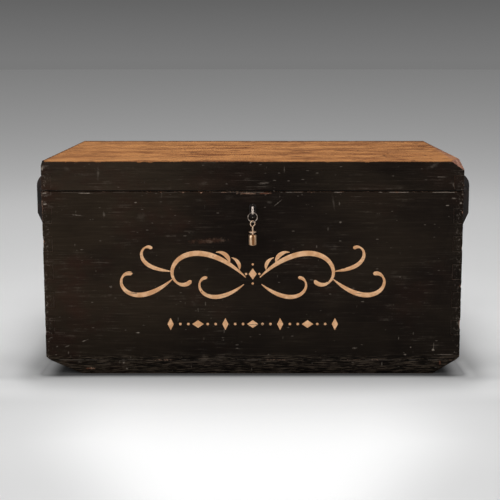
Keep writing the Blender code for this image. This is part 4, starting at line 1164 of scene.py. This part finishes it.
@dataclass
class Scroll(Assembly):
    """The painted ornament on the front: curls to both sides of a lozenge, and a row of lozenges."""

    row: float = 116 * MM
    pitch: float = 62 * MM
    film: float = 0.25 * MM

    def build(self) -> None:
        """Builds and dresses the ornament."""
        cream = CreamPaint().material("cream_paint")
        parts = [curl.part(side) for curl in CURLS for side in (1, -1)]
        parts.append(self.lozenge(0, 232 * MM, 9, 13))
        parts += [self.dot(x * MM, z * MM, 2.6) for x, z in ((0, 254), (0, 210), (-15, 232), (15, 232))]
        for place in range(-3, 4):
            wide, high = (13, 9) if place % 2 == 0 else (7, 14)
            parts.append(self.lozenge(place * self.pitch, self.row, wide, high))
            parts += [
                self.dot(place * self.pitch + side * 22 * MM, self.row, 3.0)
                for side in (-1, 1) if abs(place + side) < 4
            ]
        self.settle(mesh_object("painted_scroll", *joined(parts), 50), cream, "paint")

    def lozenge(self, x: float, z: float, wide: float, high: float) -> Part:
        """A lozenge of these half sizes in millimetres."""
        outline = np.array([(wide, 0), (0, high), (-wide, 0), (0, -high)]) * MM
        return tablet(outline, Vector((x, PLAN.front, z)), FORWARD, self.film)

    def dot(self, x: float, z: float, radius: float) -> Part:
        """A dot of this radius in millimetres."""
        return tablet(disc(radius * MM), Vector((x, PLAN.front, z)), FORWARD, self.film)


class Lid(Assembly):
    """The lid: a dovetailed frame and three planks."""

    body = "lid"

    def build(self) -> None:
        """Builds and dresses the lid's pieces."""
        front, ends = (bpy.data.materials[f"black_paint_{run}"] for run in ("lengthways", "depthways"))
        top = PaintedPine(Grain.LENGTHWAYS, Cover.BELOW_TOP, GOLDEN, 0.1667).material("golden_pine_top")
        worn = {"tight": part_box("lid_plank_1")[0].z, "knocks": Knocks()}
        rails = (("lid_front_rail lid_rear_rail", front), ("lid_left_rail lid_right_rail", ends))
        for nodes, paint in rails:
            self.ease(nodes, paint, "paint", ARRIS, shortest=TAIL_STEP, **worn)
        self.ease("lid_plank_1", top, "golden_pine", THIN_ARRIS, breaks=(CHIP, KNOCK), **worn)
        self.ease("lid_plank_2 lid_plank_3", top, "golden_pine", THIN_ARRIS, **worn)


class Handles(Assembly):
    """Two end handles: a pair of ears with a rail between them."""

    def build(self) -> None:
        """Builds and dresses the handles."""
        ears = HandleWood().material("handle_wood_upright", Grain.UPRIGHT, 0.405)
        rails = HandleWood().material("handle_wood_rails", Grain.DEPTHWAYS, 0.395)
        for side in ("left", "right"):
            pair = f"{side}_handle_front_ear {side}_handle_rear_ear"
            self.ease(pair, ears, "handle_wood", 1.5 * MM, shortest=TAIL_STEP)
            self.ease(f"{side}_handle_rail", rails, "handle_wood", 0.0, smooth=50)


@dataclass
class Hinges(Assembly):
    """Two iron butt hinges with their pins and screws."""

    meeting: float = 0.4 * MM
    spread: float = 22 * MM
    set_in: float = 9.5 * MM

    def build(self) -> None:
        """Builds and dresses the hinges."""
        iron = IRON.material("tarnished_iron")
        leaf = {"smooth": 45, "shortest": 1.5 * MM}
        for side in ("left", "right"):
            self.ease(f"{side}_hinge_lower_leaf", iron, "iron", 0.2 * MM, **leaf)
            self.ease(f"{side}_hinge_pin", iron, "iron", 0.0)
            self.ease(f"{side}_hinge_upper_leaf", iron, "iron", 0.2 * MM, "lid", **leaf)
            self.screws(side, "lower", 1, "chest")
            self.screws(side, "upper", -1, "lid")

    def screws(self, side: str, leaf: str, way: int, body: str) -> None:
        """Three slotted screws on the face of a leaf that meets the other leaf."""
        low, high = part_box(f"{side}_hinge_{leaf}_leaf")
        level = PLAN.seam - way * self.meeting
        middle, deep = (low.x + high.x) / 2, PLAN.back - self.set_in
        heads = [
            screw(
                Vector((middle + place * self.spread, deep + (place == 0) * 3 * MM, level)),
                Vector((0, 0, way)), turn,
            )
            for place, turn in ((-1, 0.4), (0, 1.3), (1, 2.2))
        ]
        piece = mesh_object(f"{side}_{leaf}_leaf_screws", *joined(heads))
        self.settle(piece, bpy.data.materials["tarnished_iron"], "iron", body)


@dataclass
class ChestLock(Assembly):
    """The lock in the front board, with its bolt, the lid's link plate and the escutcheon."""

    pin: float = 0.95 * MM
    pin_inset: float = 1.9 * MM

    def build(self) -> None:
        """Builds and dresses the lock."""
        iron, steel = bpy.data.materials["tarnished_iron"], STEEL.material("bright_steel")
        self.ease("lock_case lock_cap", iron, "iron", 0.25 * MM, shortest=1.2 * MM)
        self.ease("escutcheon", BLACKENED.material("blackened_iron"), "iron", 0.25 * MM, smooth=50)
        self.ease("lock_bolt", steel, "steel", 0.2 * MM, "bolt", shortest=1.2 * MM)
        self.ease("link_plate", iron, "iron", 0.25 * MM, "lid", shortest=1.2 * MM)
        low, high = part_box("escutcheon")
        pins = [
            tablet(disc(self.pin, 10), Vector((0, low.y, level)), FORWARD, 0.3 * MM)
            for level in (high.z - self.pin_inset, low.z + self.pin_inset)
        ]
        piece = mesh_object("escutcheon_pins", *joined(pins), 50)
        self.settle(piece, WORN_STEEL.material("worn_steel"), "steel")


@dataclass
class KeyAndFob(Assembly):
    """The key, its split ring, and the swivel eye and brass barrel that hang from it."""

    body = "key"
    ring_wire: float = 0.52 * MM
    ring_spread: float = 1.12 * MM
    ring_tall: float = 1.6
    ring_step: float = 0.5
    ring_start: float = 1.5

    def split_ring(self) -> bpy.types.Object:
        """Two turns of flat spring wire side by side, at the CAD ring's own radius.

        The path's turn runs from 0 to 4 pi less the step's turn. Its way across the ring is a smooth
        step that lies in the last part of the first turn, so no more than two wires lie side by side.
        """
        low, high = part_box("key_ring")
        centre = (np.array(low) + np.array(high)) / 2
        half_wire = min(high.x - low.x, high.y - low.y) / 2
        radius = (high.z - low.z) / 2 - half_wire
        turn = np.linspace(0, 4 * np.pi - self.ring_step, 121)
        share = np.clip((turn - 2 * np.pi) / self.ring_step + 1, 0, 1)
        across = (share * share * (3 - 2 * share) - 0.5) * self.ring_spread
        turn = turn + self.ring_start
        path = np.stack([radius * np.sin(turn), across, radius * np.cos(turn)], axis=1)
        if high.x - low.x < high.y - low.y:
            path = path[:, [1, 0, 2]]
        wire = tube(path + centre, self.ring_wire, 12, self.ring_tall)
        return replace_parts(mesh_object("split_ring", *wire, 60), "key_ring")

    def build(self) -> None:
        """Builds and dresses the key, ring and fob."""
        self.ease("key", KEY_STEEL.material("key_steel"), "steel", 0.0, smooth=45)
        self.settle(self.split_ring(), bpy.data.materials["worn_steel"], "steel", "ring")
        for node, metal, name, slot, body in (
            ("fob_eye", TINTED_STEEL, "tinted_steel", "steel", "fob_swivel"),
            ("fob_barrel", BRASS, "brass_with_painted_reflection", "brass", "fob_barrel"),
        ):
            self.ease(node, metal.material(name), slot, 0.0, body, smooth=45)


class Till(Assembly):
    """The sliding till with its two dividers."""

    body = "till"

    def build(self) -> None:
        """Builds and dresses the till's boards."""
        for run, nodes in (
            ("lengthways", "till_front till_back till_bottom"),
            ("depthways", "till_left till_right till_divider_1 till_divider_2"),
        ):
            self.ease(nodes, bpy.data.materials[f"bare_pine_{run}"], "pine", THIN_ARRIS)


@dataclass
class Studio:
    """The pale floor, the soft lamps and the camera.

    room is the world's light for plain rays and for glossy ones. backdrop is the grey that the camera
    sees at the horizon, the grey above it, and the height in the sky where that is reached. Each lamp
    has its name, place, width in metres and power in watts.
    """

    floor_half: float = 60.0
    lens: float = 64.698
    place: tuple[float, float, float] = (0.0133, -2.218, 0.7123)
    pitch: float = 7.056
    shift: tuple[float, float] = (-0.0173, -0.16)
    room: tuple[float, float] = (0.31, 0.16)
    backdrop: tuple[float, float, float] = (0.188, 0.068, 0.12)
    lamps: tuple[tuple[str, tuple[float, float, float], float, float], ...] = (
        ("overhead", (0.0, -0.3, 2.6), 2.4, 38),
        ("left_soft", (-2.4, -1.8, 1.6), 1.6, 25),
        ("right_soft", (2.4, -1.8, 1.6), 1.6, 21),
    )

    def floor(self) -> None:
        """A round floor, paler nearer the chest, with painted shadow and shade round the chest and painted
        light.
        """
        turn = np.linspace(0, 2 * np.pi, 64, endpoint=False)
        rim = np.stack([np.cos(turn), np.sin(turn), np.zeros(64)], axis=1) * self.floor_half
        piece = mesh_object("studio_floor", rim, [list(range(64))])
        graph = Graph("studio_floor")
        x, y, _ = graph.axes()
        away = (x * x + y * y).root()
        # painted falloff of light: the floor paler nearer the chest
        near = graph.math("DIVIDE", 1.0, away + 2.2)
        colour = graph.blend(near.rise(-0.05, 0.16), (0.57, 0.57, 0.57, 1), (0.98, 0.98, 0.98, 1))
        # painted shade: the floor darker within a few metres of the chest, most in a band behind it
        behind = away.rise(0.5, 1.1) * away.fall(1.3, 2.6) * y.rise(0.0, 0.9) * 0.07
        behind = away.fall(1.3, 2.8) * 0.05 + behind
        local = away.fall(0.95, 1.7)
        wide = abs(x).rise(0.3, 0.75)
        # painted shade on the floor beside the chest's ends, towards the front
        beside = wide * (y.fall(-0.32, 0.0) * 0.17 + y.rise(-0.30, -0.26) * y.fall(-0.22, -0.04) * 0.2)
        out_x, out_y = abs(x) - PLAN.half, abs(y - PLAN.middle) - PLAN.half_depth
        corner_x, corner_y = out_x.most(0.0), out_y.most(0.0)
        gap = (corner_x * corner_x + corner_y * corner_y).root() + out_x.most(out_y).least(0.0)
        ahead = out_x.fall(-0.03, 0.05)
        # painted shadow round the chest's foot, deepest in front of it
        contact_shadow = gap.fall(-0.004, 0.034) * (0.3 + 0.45 * ahead)
        contact_shadow = contact_shadow + gap.fall(0.0, 0.17) * (0.15 + 0.21 * ahead)
        contact_shadow = contact_shadow + gap.fall(0.0, 0.09) * (1 - ahead) * 0.3
        spread = abs(x) + 0.5 * (-0.6 - y).most(0.0)
        # painted shade on the floor to both sides in front of the chest
        side_shade = y.fall(-0.42, -0.34) * spread.rise(0.22, 0.46) * (0.12 + 0.05 * y.fall(-0.8, -0.62))
        shade = (behind + (beside + side_shade) * local + contact_shadow).least(0.92)
        colour = graph.blend(shade, colour, (0.0, 0.0, 0.0, 1))
        material = graph.finish(colour, 0.9, specular=0.0)
        # painted light: an emission seen only by the camera, in front of the chest, beside its ends and
        # under the skids' sloped ends
        painted_light_pool = y.fall(-0.66, -0.40) * spread.fall(0.2, 0.46) * 0.135
        flank_glow = local * out_x.rise(0.0, 0.12) * y.rise(-0.36, -0.2) * y.fall(0.1, 0.4)
        painted_light_pool = painted_light_pool + flank_glow * (0.05 + 0.03 * x.rise(-0.1, 0.1))
        # painted light under the sloped ends of the skids
        sole = out_x.rise(-0.036, 0.006) * (out_x - x.rise(-0.1, 0.1) * 0.007).fall(0.006, 0.034)
        painted_light_pool = painted_light_pool + sole * y.rise(-0.275, -0.245) * y.fall(-0.17, -0.12) * 0.16
        rays = graph.add("ShaderNodeLightPath", "Is Camera Ray", {})
        glow = graph.add("ShaderNodeEmission", 0, {"Strength": painted_light_pool * rays})
        shaded = Field(graph, graph.output.inputs[0].links[0].from_socket)
        graph.feed(graph.output.inputs[0], graph.add("ShaderNodeAddShader", 0, {0: shaded, 1: glow}))
        piece.data.materials.append(material)

    def world(self) -> None:
        """An even grey room, seen by the camera as the dark top of a studio backdrop."""
        graph = Graph("studio", world=True)
        bpy.context.scene.world = graph.holder
        seen_ray = graph.add("ShaderNodeLightPath", "Is Camera Ray", {})
        plain, shiny = self.room
        inputs = {0: seen_ray.beside("Is Glossy Ray"), 3: plain, 4: shiny}
        bright = graph.add("ShaderNodeMapRange", 0, inputs)
        light = graph.add("ShaderNodeBackground", 0, {0: (1, 1, 1, 1), 1: bright})
        up = graph.add("ShaderNodeSeparateXYZ", 2, {0: graph.add("ShaderNodeTexCoord", "Generated", {})})
        low, high, top = self.backdrop
        shade = graph.add("ShaderNodeMapRange", 0, {0: up, 1: 0.0, 2: top, 3: low, 4: high})
        seen = graph.add("ShaderNodeBackground", 0, {0: shade, 1: 1.0})
        mixed = graph.add("ShaderNodeMixShader", 0, {0: seen_ray, 1: light, 2: seen})
        graph.feed(graph.output.inputs[0], mixed)

    def lamp(self, name: str, place: Sequence[float], size: float, power: float) -> None:
        """A square soft lamp that faces the chest's middle."""
        data = bpy.data.lights.new(name, "AREA")
        data.shape, data.size, data.energy = "SQUARE", size, power
        piece = linked(name, data)
        piece.location = place
        aim = Vector((0, 0, 0.2)) - Vector(place)
        piece.rotation_euler = aim.to_track_quat("-Z", "Y").to_euler()

    def camera(self) -> None:
        """The camera, at the photograph's viewing angle."""
        data = bpy.data.cameras.new("camera")
        data.lens, data.sensor_width = self.lens, 36
        data.shift_x, data.shift_y = self.shift
        piece = linked("camera", data)
        piece.location = self.place
        piece.rotation_euler = (math.radians(90 - self.pitch), 0, 0)
        bpy.context.scene.camera = piece

    def build(self) -> None:
        """Sets the stage."""
        self.floor()
        self.world()
        for row in self.lamps:
            self.lamp(*row)
        self.camera()
        bpy.context.scene.view_settings.view_transform = "Standard"


def main() -> None:
    """Builds the chest's pieces in order, then the studio."""
    logging.basicConfig(level=logging.INFO, format="%(name)s: %(message)s")
    for assembly in (Carcass(), Scroll(), Lid(), Handles(), Hinges(), ChestLock(), KeyAndFob(), Till()):
        assembly.build()
    Studio().build()


if __name__ == "__main__":
    main()
